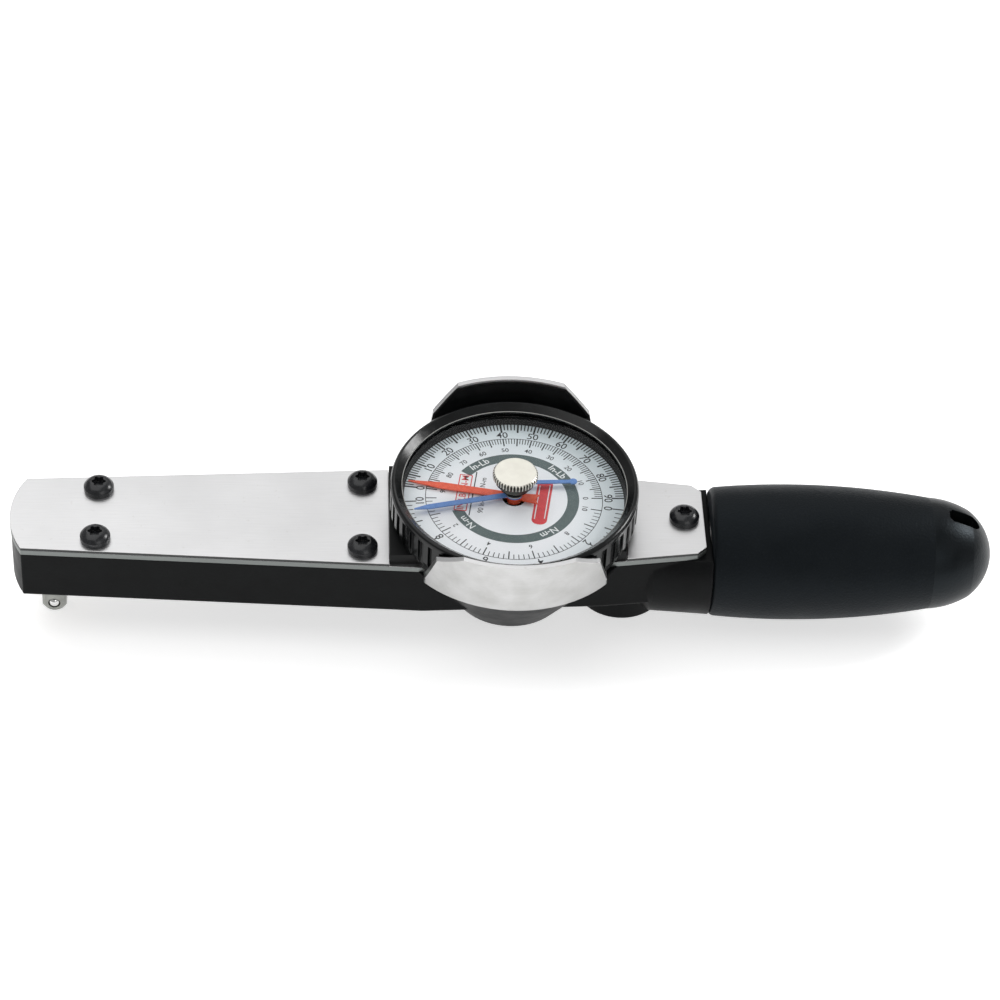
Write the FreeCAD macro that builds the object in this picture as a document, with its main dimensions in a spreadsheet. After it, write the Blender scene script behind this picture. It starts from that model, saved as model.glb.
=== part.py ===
import FreeCAD, Part
import math
import os
import re
import Sketcher

# A dial torque wrench with a 1/4 in square drive.
# Frame: origin at the centre of the square drive's end face, +X along the handle,
# +Z up through the drive axis to the dial. All sizes are in millimetres.

# ---------------------------------------------------------------- driving dimensions
DIMENSIONS = {
    # levels above the end of the square drive
    "plate_top": 32.9,
    "cover_thick": 0.9,
    "frame_thick": 1.5,
    "body_bottom": 15.4,
    "floor_thick": 2.5,
    "wall": 2.6,
    "handle_level": 21.1,
    # plan of the body
    "dial_x": 122.8,
    "head_tip": 10.6,
    "head_corner": 7.0,
    "head_half": 13.4,
    "head_arc": 26.8,
    "front_end_x": 89.7,
    "front_end_half": 18.3,
    "ear_x": 24.0,
    "ear_front_half": 18.8,
    "ear_rear_half": 16.4,
    "rear_far_x": 154.9,
    "rear_far_half": 15.35,
    "rear_near_x": 152.6,
    "rear_near_half": 15.6,
    "rear_corner_x": 171.4,
    "rear_end_x": 173.9,
    "rear_end_half": 13.2,
    "rear_chamfer": 2.4,
    "body_inset": 0.3,
    "body_edge": 0.8,
    "cavity_start_x": -4.0,
    "cavity_end_x": 158.5,
    # guards beside the dial
    "guard_root": 33.0,
    "guard_top": 37.7,
    "guard_sheet": 1.4,
    "guard_height": 17.2,
    "guard_shoulder": 12.0,
    "guard_top_half": 14.4,
    "guard_shoulder_half": 21.2,
    "liner_thick": 0.5,
    "liner_bottom": 7.4,
    "liner_top": 16.6,
    # bowl and bosses of the casting
    "bowl_top": 31.6,
    "bowl_bottom": 15.4,
    "bowl_depth": 25.6,
    "load_boss_x": 152.8,
    "load_boss_r": 11.6,
    "load_boss_depth": 25.9,
    "drive_boss_r": 8.6,
    "drive_boss_bottom": 12.6,
    # cover screws, size M4
    "screw_front_x": 12.4,
    "screw_front_y": 9.63,
    "screw_mid_x": 82.7,
    "screw_mid_y": 12.5,
    "screw_rear_x": 168.6,
    "screw_r": 1.95,
    "screw_hole": 2.15,
    "screw_tapped": 2.0,
    "screw_length": 10.0,
    "screw_head_r": 4.0,
    "screw_head_rim": 1.3,
    "screw_head_tall": 2.9,
    "screw_head_flat": 2.2,
    "screw_head_arc": 3.0,
    "screw_boss_r": 3.7,
    "star_r": 1.95,
    "star_lobe": 0.5,
    "star_deep": 1.5,
    # square drive and its spindle
    "square_half": 3.175,
    "square_long": 10.6,
    "square_edge": 0.6,
    "lead_in_r": 3.05,
    "lead_in_far_r": 5.5,
    "lead_in_high": 4.2,
    "journal_r": 5.5,
    "running": 0.05,
    "bush_r": 7.0,
    "bush_flange": 8.2,
    "hub_bottom": 18.6,
    "hub_r": 8.0,
    "hub_top": 27.4,
    "hub_room": 0.4,
    "arm_boss_r": 4.5,
    "arm_thick": 1.2,
    "top_journal_r": 4.0,
    "top_bush_r": 5.3,
    "spindle_top": 31.8,
    "ball_level": 2.7,
    "ball_r": 1.6,
    "ball_proud": 0.55,
    "ball_hole": 1.65,
    "ball_hole_deep": 5.0,
    # measuring beam
    "beam_bottom": 18.95,
    "beam_top": 26.3,
    "beam_half": 1.65,
    "beam_end_x": 157.0,
    "beam_pin_r": 1.48,
    "beam_pin_level": 22.6,
    "beam_pin_half": 7.6,
    "load_pin_r": 1.98,
    "load_pin_bottom": 10.4,
    "load_pin_top": 27.0,
    # indicator arm and gears
    "arm_root_half": 4.4,
    "arm_tip_half": 2.4,
    "arm_tip_x": 111.5,
    "gear_module": 0.4,
    "pinion_teeth": 12,
    "sector_full_teeth": 602,
    "sector_teeth": 17,
    "sector_inner": 103.0,
    "sector_thick": 1.2,
    "tooth_addendum": 0.3,
    "tooth_dedendum": 0.46,
    "tooth_play": 0.05,
    "rivet_r": 0.9,
    "rivet_inner_x": 105.5,
    "rivet_outer_x": 109.5,
    # movement under the dial
    "bridge_bottom": 26.9,
    "bridge_thick": 1.0,
    "bridge_front": 5.2,
    "bridge_rear": 13.0,
    "bridge_half": 12.0,
    "pillar_x": 9.5,
    "pillar_y": 9.0,
    "pillar_r": 2.4,
    "pillar_spigot": 1.5,
    "arbor_r": 0.9,
    "arbor_pivot": 0.6,
    "arbor_top": 40.9,
    "lower_jewel_r": 2.0,
    "upper_jewel_r": 3.1,
    "collet_r": 1.55,
    # dial housing and bezel, heights measured from the plate top
    "cup_front_x": 33.0,
    "cup_front_half": 17.4,
    "cup_far_x": 31.9,
    "cup_near_x": 29.5,
    "cup_rear_half": 15.2,
    "cup_block_top": 2.3,
    "cup_r": 30.8,
    "cup_inner": 28.4,
    "cup_floor": 1.4,
    "cup_top": 4.6,
    "cup_screw_ring": 20.0,
    "bezel_bottom": 2.6,
    "bezel_r": 32.9,
    "bezel_lip": 29.74,
    "bezel_top": 11.2,
    "bezel_rim": 12.9,
    "bezel_round": 1.2,
    "bezel_bore": 30.85,
    "bezel_seat": 30.6,
    "bezel_ribs": 54,
    "rib_deep": 0.8,
    "rib_gap_floor": 0.85,
    "rib_gap_mouth": 1.15,
    "crystal_bottom": 9.4,
    "crystal_edge": 10.5,
    "crystal_centre": 11.1,
    "crystal_hole": 1.3,
    "dial_top": 7.0,
    "dial_thick": 0.6,
    "dial_hole": 3.1,
    "retainer_thick": 0.7,
    # pointers
    "main_pointer_angle": 168.6,
    "main_pointer_long": 28.6,
    "main_pointer_wide": 19.5,
    "main_pointer_half": 1.2,
    "main_pointer_tail": 6.6,
    "main_pointer_level": 7.6,
    "pointer_thick": 0.3,
    "memory_pointer_angle": 193.2,
    "memory_pointer_long": 27.3,
    "memory_pointer_wide": 23.4,
    "memory_pointer_half": 0.85,
    "memory_elbow_x": 5.9,
    "memory_elbow_y": 3.35,
    "memory_tail_x": 16.6,
    "memory_tail_y": 1.3,
    "memory_pointer_level": 8.4,
    "memory_shaft_r": 1.2,
    "knob_r": 6.0,
    "knob_face_r": 5.5,
    "knob_waist": 5.25,
    "knob_collar": 4.3,
    "knob_bottom": 11.5,
    "knob_step": 14.5,
    "knob_top": 16.4,
    "knob_grooves": 42,
    "groove_deep": 0.5,
    # handle
    "core_r": 8.5,
    "core_bore": 6.3,
    "core_start_x": 161.5,
    "core_end_x": 232.0,
    "neck_start_x": 145.0,
    "neck_start_r": 6.0,
    "neck_full_x": 160.0,
    "neck_full_r": 16.0,
    "neck_end_x": 175.7,
    "neck_end_r": 17.0,
    "grip_start_x": 176.0,
    "grip_front_r": 16.2,
    "grip_lip_x": 177.4,
    "grip_lip_r": 17.35,
    "grip_bore": 8.6,
    "seam_x": 235.25,
    "seam_r": 15.05,
    "grip_arc": 226.0,
    "cap_shoulder_x": 246.2,
    "cap_shoulder_r": 11.8,
    "cap_end_x": 252.4,
    "cap_shoulder_arc": 24.0,
    "cap_nose_arc": 15.0,
    "cap_spigot_long": 8.0,
    "slot_start_x": 239.8,
    "slot_end_x": 248.4,
    "slot_half": 2.3,
}

DOC = FreeCAD.newDocument("TorqueWrench")
SHEET = DOC.addObject("Spreadsheet::Sheet", "Dims")
for row, (alias, size) in enumerate(DIMENSIONS.items(), start=1):
    SHEET.set(f"A{row}", alias)
    SHEET.set(f"B{row}", str(size))
    SHEET.setAlias(f"B{row}", alias)
DOC.recompute()

NODES = []


# ---------------------------------------------------------------- helpers
def bound(text):
    """An expression in sheet aliases, written for setExpression."""
    return re.sub(r"[a-z]\w*", lambda m: "Dims." + m[0] if m[0] in DIMENSIONS else m[0], str(text))


def size(text):
    """The present value of an expression in sheet aliases."""
    found = SHEET.evalExpression(bound(text))
    return float(getattr(found, "Value", found))


def node(thing, name):
    """Lists a finished sub-part under the name of its file."""
    thing.Label = name
    NODES.append(thing)
    return thing


def new_body(name, x="0", z="0", turn="0"):
    """A PartDesign body whose own origin stands at (x, 0, z), turned about Z by turn degrees."""
    body = node(DOC.addObject("PartDesign::Body", name), name)
    body.setExpression("Placement.Base.x", bound(x))
    body.setExpression("Placement.Base.z", bound(z))
    body.Placement.Rotation = FreeCAD.Rotation(FreeCAD.Vector(0, 0, 1), 0)
    body.setExpression("Placement.Rotation.Angle", bound(turn))
    return body


def new_sketch(body, plane, offset="0"):
    """A sketch on one of the body's origin planes, moved along the plane's normal."""
    sketch = body.newObject("Sketcher::SketchObject", body.Name + "_sketch")
    support = [f for f in body.Origin.OriginFeatures if f.Role == plane][0]
    sketch.AttachmentSupport = (support, [""])
    sketch.MapMode = "FlatFace"
    sketch.setExpression("AttachmentOffset.Base.z", bound(offset))
    return sketch


def pin_point(sketch, curve, end, x, y):
    """Ties one end of a curve to two expressions."""
    for kind, text in (("DistanceX", x), ("DistanceY", y)):
        index = sketch.addConstraint(Sketcher.Constraint(kind, -1, 1, curve, end, size(text)))
        sketch.setExpression(f"Constraints[{index}]", bound(text))


def add_loop(sketch, corners):
    """A closed outline. A corner is (x, y), or (x, y, radius, side) where an arc leads to the next
    corner: side +1 bulges to the left of the way along the outline and -1 to the right."""
    first = sketch.GeometryCount
    count = len(corners)
    for index, corner in enumerate(corners):
        following = corners[(index + 1) % count]
        start = FreeCAD.Vector(size(corner[0]), size(corner[1]), 0)
        stop = FreeCAD.Vector(size(following[0]), size(following[1]), 0)
        if len(corner) == 2:
            sketch.addGeometry(Part.LineSegment(start, stop), False)
            continue
        radius = size(corner[2])
        chord = stop - start
        left = FreeCAD.Vector(-chord.y, chord.x, 0).normalize()
        rise = radius - math.sqrt(radius**2 - (chord.Length / 2) ** 2)
        middle = (start + stop) / 2 + left * rise * corner[3]
        sketch.addGeometry(Part.Arc(start, middle, stop), False)
    for index, corner in enumerate(corners):
        here = first + index
        after = first + (index + 1) % count
        # an arc that bulges left runs clockwise, so its stored ends are swapped
        out_end = 1 if len(corner) == 4 and corner[3] > 0 else 2
        next_corner = corners[(index + 1) % count]
        in_end = 2 if len(next_corner) == 4 and next_corner[3] > 0 else 1
        sketch.addConstraint(Sketcher.Constraint("Coincident", here, out_end, after, in_end))
    for index, corner in enumerate(corners):
        here = first + index
        own_end = 2 if len(corner) == 4 and corner[3] > 0 else 1
        pin_point(sketch, here, own_end, corner[0], corner[1])
        if len(corner) == 4:
            place = sketch.addConstraint(Sketcher.Constraint("Radius", here, size(corner[2])))
            sketch.setExpression(f"Constraints[{place}]", bound(corner[2]))


def add_circle(sketch, x, y, radius):
    centre = FreeCAD.Vector(size(x), size(y), 0)
    place = sketch.addGeometry(Part.Circle(centre, FreeCAD.Vector(0, 0, 1), size(radius)), False)
    pin_point(sketch, place, 3, x, y)
    index = sketch.addConstraint(Sketcher.Constraint("Radius", place, size(radius)))
    sketch.setExpression(f"Constraints[{index}]", bound(radius))


def add_axis(sketch, x, y, upright=True):
    """A construction line to revolve about, through (x, y)."""
    start = FreeCAD.Vector(size(x), size(y), 0)
    stop = start + (FreeCAD.Vector(0, 1, 0) if upright else FreeCAD.Vector(1, 0, 0))
    place = sketch.addGeometry(Part.LineSegment(start, stop), True)
    pin_point(sketch, place, 1, x, y)
    sketch.addConstraint(Sketcher.Constraint("Vertical" if upright else "Horizontal", place))
    sketch.addConstraint(Sketcher.Constraint("Distance", place, 1.0))
    return (sketch, ["Axis0"])


def pad(body, sketch, length, reverse=False, taper="0"):
    feature = body.newObject("PartDesign::Pad", body.Name + "_pad")
    feature.Profile = sketch
    feature.Reversed = reverse
    feature.setExpression("Length", bound(length))
    feature.setExpression("TaperAngle", bound(taper))
    DOC.recompute()
    return feature


def cut(body, sketch, depth=None, reverse=False, both=False):
    """A pocket of a given depth, or through everything. It has to take material away."""
    before = body.Shape.Volume
    feature = body.newObject("PartDesign::Pocket", body.Name + "_cut")
    feature.Profile = sketch
    feature.Reversed = reverse
    feature.Midplane = both
    if depth is None:
        feature.Type = "ThroughAll"
    else:
        feature.setExpression("Length", bound(depth))
    DOC.recompute()
    if not body.Shape.Volume < before - 1e-6:
        raise RuntimeError(f"{body.Name}: a pocket removed nothing")
    return feature


def turned(body, sketch, axis, remove=False, angle="360", both=False):
    """A revolution about an axis of the sketch, or a groove when it removes material."""
    before = body.Shape.Volume if remove else 0
    kind = "PartDesign::Groove" if remove else "PartDesign::Revolution"
    feature = body.newObject(kind, body.Name + "_turned")
    feature.Profile = sketch
    feature.ReferenceAxis = axis
    feature.Midplane = both
    feature.setExpression("Angle", bound(angle))
    DOC.recompute()
    if remove and not body.Shape.Volume < before - 1e-6:
        raise RuntimeError(f"{body.Name}: a groove removed nothing")
    return feature


def round_edges(body, chosen, radius):
    """Rounds the edges of the present shape that the test `chosen` accepts."""
    base = body.Tip
    names = [f"Edge{i + 1}" for i, edge in enumerate(base.Shape.Edges) if chosen(edge)]
    feature = body.newObject("PartDesign::Fillet", body.Name + "_round")
    feature.Base = (base, names)
    feature.setExpression("Radius", bound(radius))
    DOC.recompute()
    return feature


def polar(body, feature, count, angle="360"):
    """Repeats a feature about the body's own Z axis."""
    before = body.Shape.Volume
    pattern = body.newObject("PartDesign::PolarPattern", body.Name + "_pattern")
    pattern.Originals = [feature]
    axis = [f for f in body.Origin.OriginFeatures if f.Role == "Z_Axis"][0]
    pattern.Axis = (axis, [""])
    pattern.setExpression("Angle", bound(angle))
    pattern.setExpression("Occurrences", bound(count))
    body.Tip = pattern
    DOC.recompute()
    if abs(body.Shape.Volume - before) < 1e-6:
        raise RuntimeError(f"{body.Name}: a pattern changed nothing")
    return pattern


def turned_part(name, corners, x="0", z="0", turn="0"):
    """A piece turned about a vertical axis; corners are (radius, height)."""
    body = new_body(name, x, z, turn)
    sketch = new_sketch(body, "XZ_Plane")
    add_loop(sketch, corners)
    turned(body, sketch, (sketch, ["V_Axis"]))
    return body


def ring_part(name, inner, outer, bottom, top, x="0"):
    """A plain ring or bush: a rectangle turned about a vertical axis."""
    return turned_part(name, [(inner, bottom), (outer, bottom), (outer, top), (inner, top)], x)


def flat_part(name, corners, bottom, thick, x="0", turn="0"):
    """A plate cut from sheet."""
    body = new_body(name, x, "0", turn)
    sketch = new_sketch(body, "XY_Plane", bottom)
    add_loop(sketch, corners)
    pad(body, sketch, thick)
    return body


def drill(body, level, holes, depth=None, reverse=False):
    """Round holes (x, y, radius) cut down from a level."""
    sketch = new_sketch(body, "XY_Plane", level)
    for x, y, radius in holes:
        add_circle(sketch, x, y, radius)
    return cut(body, sketch, depth, reverse)


def group(name, members):
    """Several equal loose pieces that share one node."""
    compound = DOC.addObject("Part::Compound", name)
    compound.Links = members
    return node(compound, name)


def member(body):
    """Takes a body off the list of nodes, because a group holds it."""
    NODES.remove(body)
    return body


COVER_SCREW_PLACES = [
    ("screw_front_x", "screw_front_y"),
    ("screw_front_x", "-screw_front_y"),
    ("screw_mid_x", "screw_mid_y"),
    ("screw_mid_x", "-screw_mid_y"),
    ("screw_rear_x", "0"),
]
FRAME_BOTTOM = "plate_top-cover_thick-frame_thick"
FRAME_TOP = "plate_top-cover_thick"


def body_outline(inset, start_x, end_x):
    """The plan of the body from the head to the grip, drawn inside the plates by inset."""
    right = [
        (f"{start_x}", f"-(head_half-{inset})"),
        ("front_end_x", f"-(front_end_half-{inset})"),
        ("dial_x-ear_x", f"-(ear_front_half-{inset})"),
        ("dial_x+ear_x", f"-(ear_rear_half-{inset})"),
        (f"{end_x}", f"-(rear_end_half-{inset})"),
    ]
    left = [(x, y[1:]) for x, y in reversed(right)]
    return right + left


# ---------------------------------------------------------------- the cast body
def make_body_casting():
    body = new_body("body_casting")
    # outer walls, with the rounded end at the head
    outline = body_outline("body_inset", "-head_corner", "rear_end_x")
    outline[-1] += ("head_arc", -1)
    sketch = new_sketch(body, "XY_Plane", "body_bottom")
    add_loop(sketch, outline)
    pad(body, sketch, f"{FRAME_BOTTOM}-body_bottom")
    bottom = size("body_bottom")
    round_edges(body, lambda edge: edge.BoundBox.ZMax < bottom + 0.01, "body_edge")
    # the conical bowl under the dial
    sketch = new_sketch(body, "XZ_Plane")
    axis = add_axis(sketch, "dial_x", "0")
    bowl = [
        ("dial_x", "plate_top-bowl_depth"),
        ("dial_x+bowl_bottom", "plate_top-bowl_depth"),
        ("dial_x+bowl_top", FRAME_BOTTOM),
        ("dial_x", FRAME_BOTTOM),
    ]
    add_loop(sketch, bowl)
    turned(body, sketch, axis)
    # the boss that anchors the far end of the beam
    sketch = new_sketch(body, "XY_Plane", "plate_top-load_boss_depth")
    add_circle(sketch, "load_boss_x", "0", "load_boss_r")
    pad(body, sketch, "load_boss_depth-plate_top+body_bottom+1")
    # the neck that runs into the grip
    sketch = new_sketch(body, "XZ_Plane")
    axis = add_axis(sketch, "0", "handle_level", upright=False)
    neck = [
        ("neck_start_x", "handle_level"),
        ("neck_end_x", "handle_level"),
        ("neck_end_x", "handle_level+neck_end_r"),
        ("neck_full_x", "handle_level+neck_full_r"),
        ("neck_start_x", "handle_level+neck_start_r"),
    ]
    add_loop(sketch, neck)
    turned(body, sketch, axis)
    # the boss round the square drive, below the head
    sketch = new_sketch(body, "XY_Plane", "drive_boss_bottom")
    add_circle(sketch, "0", "0", "drive_boss_r")
    pad(body, sketch, "body_bottom-drive_boss_bottom+1")
    # the top face is flat for the plates
    sketch = new_sketch(body, "XY_Plane", FRAME_BOTTOM)
    add_loop(sketch, [("-20", "-40"), ("200", "-40"), ("200", "40"), ("-20", "40")])
    cut(body, sketch, "12", reverse=True)
    # the trough for the beam and the arm
    sketch = new_sketch(body, "XY_Plane", FRAME_BOTTOM)
    add_loop(sketch, body_outline("wall-body_inset", "cavity_start_x", "cavity_end_x"))
    trough_depth = f"{FRAME_BOTTOM}-body_bottom-floor_thick"
    cut(body, sketch, trough_depth)
    drill(body, FRAME_BOTTOM, [("0", "0", "hub_r+hub_room")], trough_depth)
    # the inside of the bowl
    sketch = new_sketch(body, "XZ_Plane")
    axis = add_axis(sketch, "dial_x", "0")
    hollow = [
        ("dial_x", "plate_top-bowl_depth+floor_thick"),
        ("dial_x+bowl_bottom-1.5", "plate_top-bowl_depth+floor_thick"),
        ("dial_x+bowl_top-wall-0.6", FRAME_BOTTOM),
        ("dial_x", FRAME_BOTTOM),
    ]
    add_loop(sketch, hollow)
    turned(body, sketch, axis, remove=True)
    # threaded bosses for the front cover's screws
    sketch = new_sketch(body, "XY_Plane", "body_bottom+1")
    for x, y in COVER_SCREW_PLACES[:4]:
        add_circle(sketch, x, y, "screw_boss_r")
    pad(body, sketch, f"{FRAME_BOTTOM}-body_bottom-1")
    holes = [(x, y, "screw_tapped") for x, y in COVER_SCREW_PLACES]
    drill(body, FRAME_BOTTOM, holes, "screw_length-cover_thick-frame_thick+0.6")
    # seats for the bush, the load pins and the handle core
    floor = "body_bottom+floor_thick"
    drill(body, floor, [("0", "0", "bush_r")], f"{floor}-drive_boss_bottom+1")
    pins = [("load_boss_x", f"{side}(beam_half+0.02+load_pin_r)", "2.0") for side in ("", "-")]
    drill(body, floor, pins, f"{floor}-load_pin_bottom")
    sketch = new_sketch(body, "YZ_Plane", "neck_end_x")
    add_circle(sketch, "0", "handle_level", "core_r")
    cut(body, sketch, "neck_end_x-core_start_x")
    return body


# ---------------------------------------------------------------- plates
def make_frame_plate():
    """The sheet that closes the trough, with the two guards bent up beside the dial."""
    body = new_body("frame_plate")
    right = [
        ("-head_corner", "-head_half"),
        ("dial_x-ear_x", "-ear_front_half"),
        ("dial_x-ear_x", "-sqrt(guard_root^2-ear_x^2)", "guard_root", -1),
        ("dial_x+ear_x", "-sqrt(guard_root^2-ear_x^2)"),
        ("dial_x+ear_x", "-ear_rear_half"),
        ("rear_corner_x", "-rear_end_half"),
        ("rear_end_x", "-(rear_end_half-rear_chamfer)"),
    ]
    left = [(c[0], c[1][1:]) for c in reversed(right)]
    left[3] += ("guard_root", -1)
    left[-1] += ("head_arc", -1)
    sketch = new_sketch(body, "XY_Plane", FRAME_BOTTOM)
    add_loop(sketch, right + left)
    pad(body, sketch, "frame_thick")
    for side in ("-", ""):
        sketch = new_sketch(body, "YZ_Plane", "dial_x")
        axis = add_axis(sketch, "0", "0")
        wall = [
            (f"{side}guard_root", FRAME_BOTTOM),
            (f"{side}guard_top", "plate_top+guard_height"),
            (f"{side}(guard_top-guard_sheet)", "plate_top+guard_height"),
            (f"{side}(guard_root-guard_sheet)", FRAME_BOTTOM),
        ]
        add_loop(sketch, wall)
        turned(body, sketch, axis, angle="94", both=True)
    # the slanted shoulders of the guards
    sketch = new_sketch(body, "XZ_Plane")
    for side in ("+", "-"):
        shoulder = [
            (f"dial_x{side}guard_top_half", "plate_top+guard_height+1"),
            (f"dial_x{side}guard_top_half", "plate_top+guard_height"),
            (f"dial_x{side}guard_shoulder_half", "plate_top+guard_shoulder"),
            (f"dial_x{side}ear_x", f"{FRAME_TOP}+0.5"),
            (f"dial_x{side}(ear_x+20)", f"{FRAME_TOP}+0.5"),
            (f"dial_x{side}(ear_x+20)", "plate_top+guard_height+1"),
        ]
        add_loop(sketch, shoulder)
    cut(body, sketch, both=True)
    # the guards end at the ears' sides below the shoulders too
    sketch = new_sketch(body, "XY_Plane", f"{FRAME_TOP}+0.5")
    for side_x in ("+", "-"):
        for side_y in ("", "-"):
            corner = [
                (f"dial_x{side_x}ear_x", f"{side_y}(ear_front_half+0.6)"),
                (f"dial_x{side_x}(ear_x+8)", f"{side_y}(ear_front_half+0.6)"),
                (f"dial_x{side_x}(ear_x+8)", f"{side_y}40"),
                (f"dial_x{side_x}ear_x", f"{side_y}40"),
            ]
            add_loop(sketch, corner)
    cut(body, sketch, "4")
    holes = [(x, y, "screw_hole") for x, y in COVER_SCREW_PLACES]
    holes.append(("0", "0", "top_bush_r+0.02"))
    holes.append(("dial_x", "0", "upper_jewel_r+0.02"))
    for side in ("", "-"):
        holes.append(("dial_x+pillar_x", f"{side}pillar_y", "pillar_spigot+0.02"))
    for x, y in cup_screw_places():
        holes.append((x, y, "1.0"))
    drill(body, FRAME_TOP, holes, "3")
    return body


def make_guard_liners():
    """Black liners on the inner faces of the two guards, above the level where the bezel is close."""
    lean = "(guard_top-guard_root)/(guard_height+cover_thick+frame_thick)"
    liners = []
    for index, side in enumerate(("-", "")):
        liner = member(new_body(f"guard_liner_{index + 1}", "dial_x"))
        sketch = new_sketch(liner, "YZ_Plane")
        axis = add_axis(sketch, "0", "0")
        rise = "cover_thick+frame_thick"
        low = f"(guard_root-guard_sheet+{lean}*(liner_bottom+{rise}))"
        high = f"(guard_root-guard_sheet+{lean}*(liner_top+{rise}))"
        section = [
            (f"{side}{low}", "plate_top+liner_bottom"),
            (f"{side}{high}", "plate_top+liner_top"),
            (f"{side}({high}-liner_thick)", "plate_top+liner_top"),
            (f"{side}({low}-liner_thick)", "plate_top+liner_bottom"),
        ]
        add_loop(sketch, section)
        turned(liner, sketch, axis, angle="76", both=True)
        sketch = new_sketch(liner, "XZ_Plane")
        for end in ("", "-"):
            shoulder = [
                (f"{end}(guard_top_half-0.4)", "plate_top+guard_height+1"),
                (f"{end}(guard_top_half-0.4)", "plate_top+guard_height"),
                (f"{end}(guard_shoulder_half-0.6)", "plate_top+guard_shoulder"),
                (f"{end}(guard_shoulder_half-0.2)", "plate_top+liner_bottom-1"),
                (f"{end}40", "plate_top+liner_bottom-1"),
                (f"{end}40", "plate_top+guard_height+1"),
            ]
            add_loop(sketch, shoulder)
        cut(liner, sketch, both=True)
        liners.append(liner)
    group("guard_liners", liners)


def cup_screw_places():
    """Three screws on a ring round the dial axis."""
    turns = (60, 180, 300)
    return [(f"dial_x+cup_screw_ring*cos({turn})", f"cup_screw_ring*sin({turn})") for turn in turns]


def make_cover_plates():
    front = [
        ("-head_corner", "-head_half"),
        ("front_end_x", "-front_end_half"),
        ("front_end_x", "front_end_half"),
        ("-head_corner", "head_half", "head_arc", -1),
    ]
    body = flat_part("front_cover_plate", front, FRAME_TOP, "cover_thick")
    drill(body, "plate_top", [(x, y, "screw_hole") for x, y in COVER_SCREW_PLACES[:4]], "2")
    rear = [
        ("rear_near_x", "-rear_near_half"),
        ("rear_corner_x", "-rear_end_half"),
        ("rear_end_x", "-(rear_end_half-rear_chamfer)"),
        ("rear_end_x", "rear_end_half-rear_chamfer"),
        ("rear_corner_x", "rear_end_half"),
        ("rear_far_x", "rear_far_half"),
    ]
    body = flat_part("rear_cover_plate", rear, FRAME_TOP, "cover_thick")
    drill(body, "plate_top", [("screw_rear_x", "0", "screw_hole")], "2")


def make_cover_screws():
    """Pan-head screws with a six-lobed recess."""
    screws = []
    for index, (x, y) in enumerate(COVER_SCREW_PLACES):
        profile = [
            ("0", "-screw_length"),
            ("screw_r", "-screw_length"),
            ("screw_r", "0"),
            ("screw_head_r", "0"),
            ("screw_head_r", "screw_head_rim", "screw_head_arc", -1),
            ("screw_head_flat", "screw_head_tall"),
            ("0", "screw_head_tall"),
        ]
        body = member(turned_part(f"cover_screw_{index + 1}", profile, x, "plate_top"))
        body.setExpression("Placement.Base.y", bound(y))
        sketch = new_sketch(body, "XY_Plane", "screw_head_tall")
        add_circle(sketch, "0", "0", "star_r*0.78")
        cut(body, sketch, "star_deep")
        sketch = new_sketch(body, "XY_Plane", "screw_head_tall")
        add_circle(sketch, "star_r-star_lobe", "0", "star_lobe")
        lobe = cut(body, sketch, "star_deep")
        polar(body, lobe, "6")
        screws.append(body)
    group("cover_screws", screws)


# ---------------------------------------------------------------- spindle and beam
def make_bushes():
    bottom = [
        ("journal_r+running", "drive_boss_bottom"),
        ("bush_r", "drive_boss_bottom"),
        ("bush_r", "body_bottom+floor_thick"),
        ("bush_flange", "body_bottom+floor_thick"),
        ("bush_flange", "hub_bottom-running"),
        ("journal_r+running", "hub_bottom-running"),
    ]
    turned_part("bottom_bush", bottom)
    top = [
        ("top_journal_r+running", f"{FRAME_BOTTOM}-0.6"),
        ("top_bush_r+1.2", f"{FRAME_BOTTOM}-0.6"),
        ("top_bush_r+1.2", FRAME_BOTTOM),
        ("top_bush_r", FRAME_BOTTOM),
        ("top_bush_r", FRAME_TOP),
        ("top_journal_r+running", FRAME_TOP),
    ]
    turned_part("top_bush", top)


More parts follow.
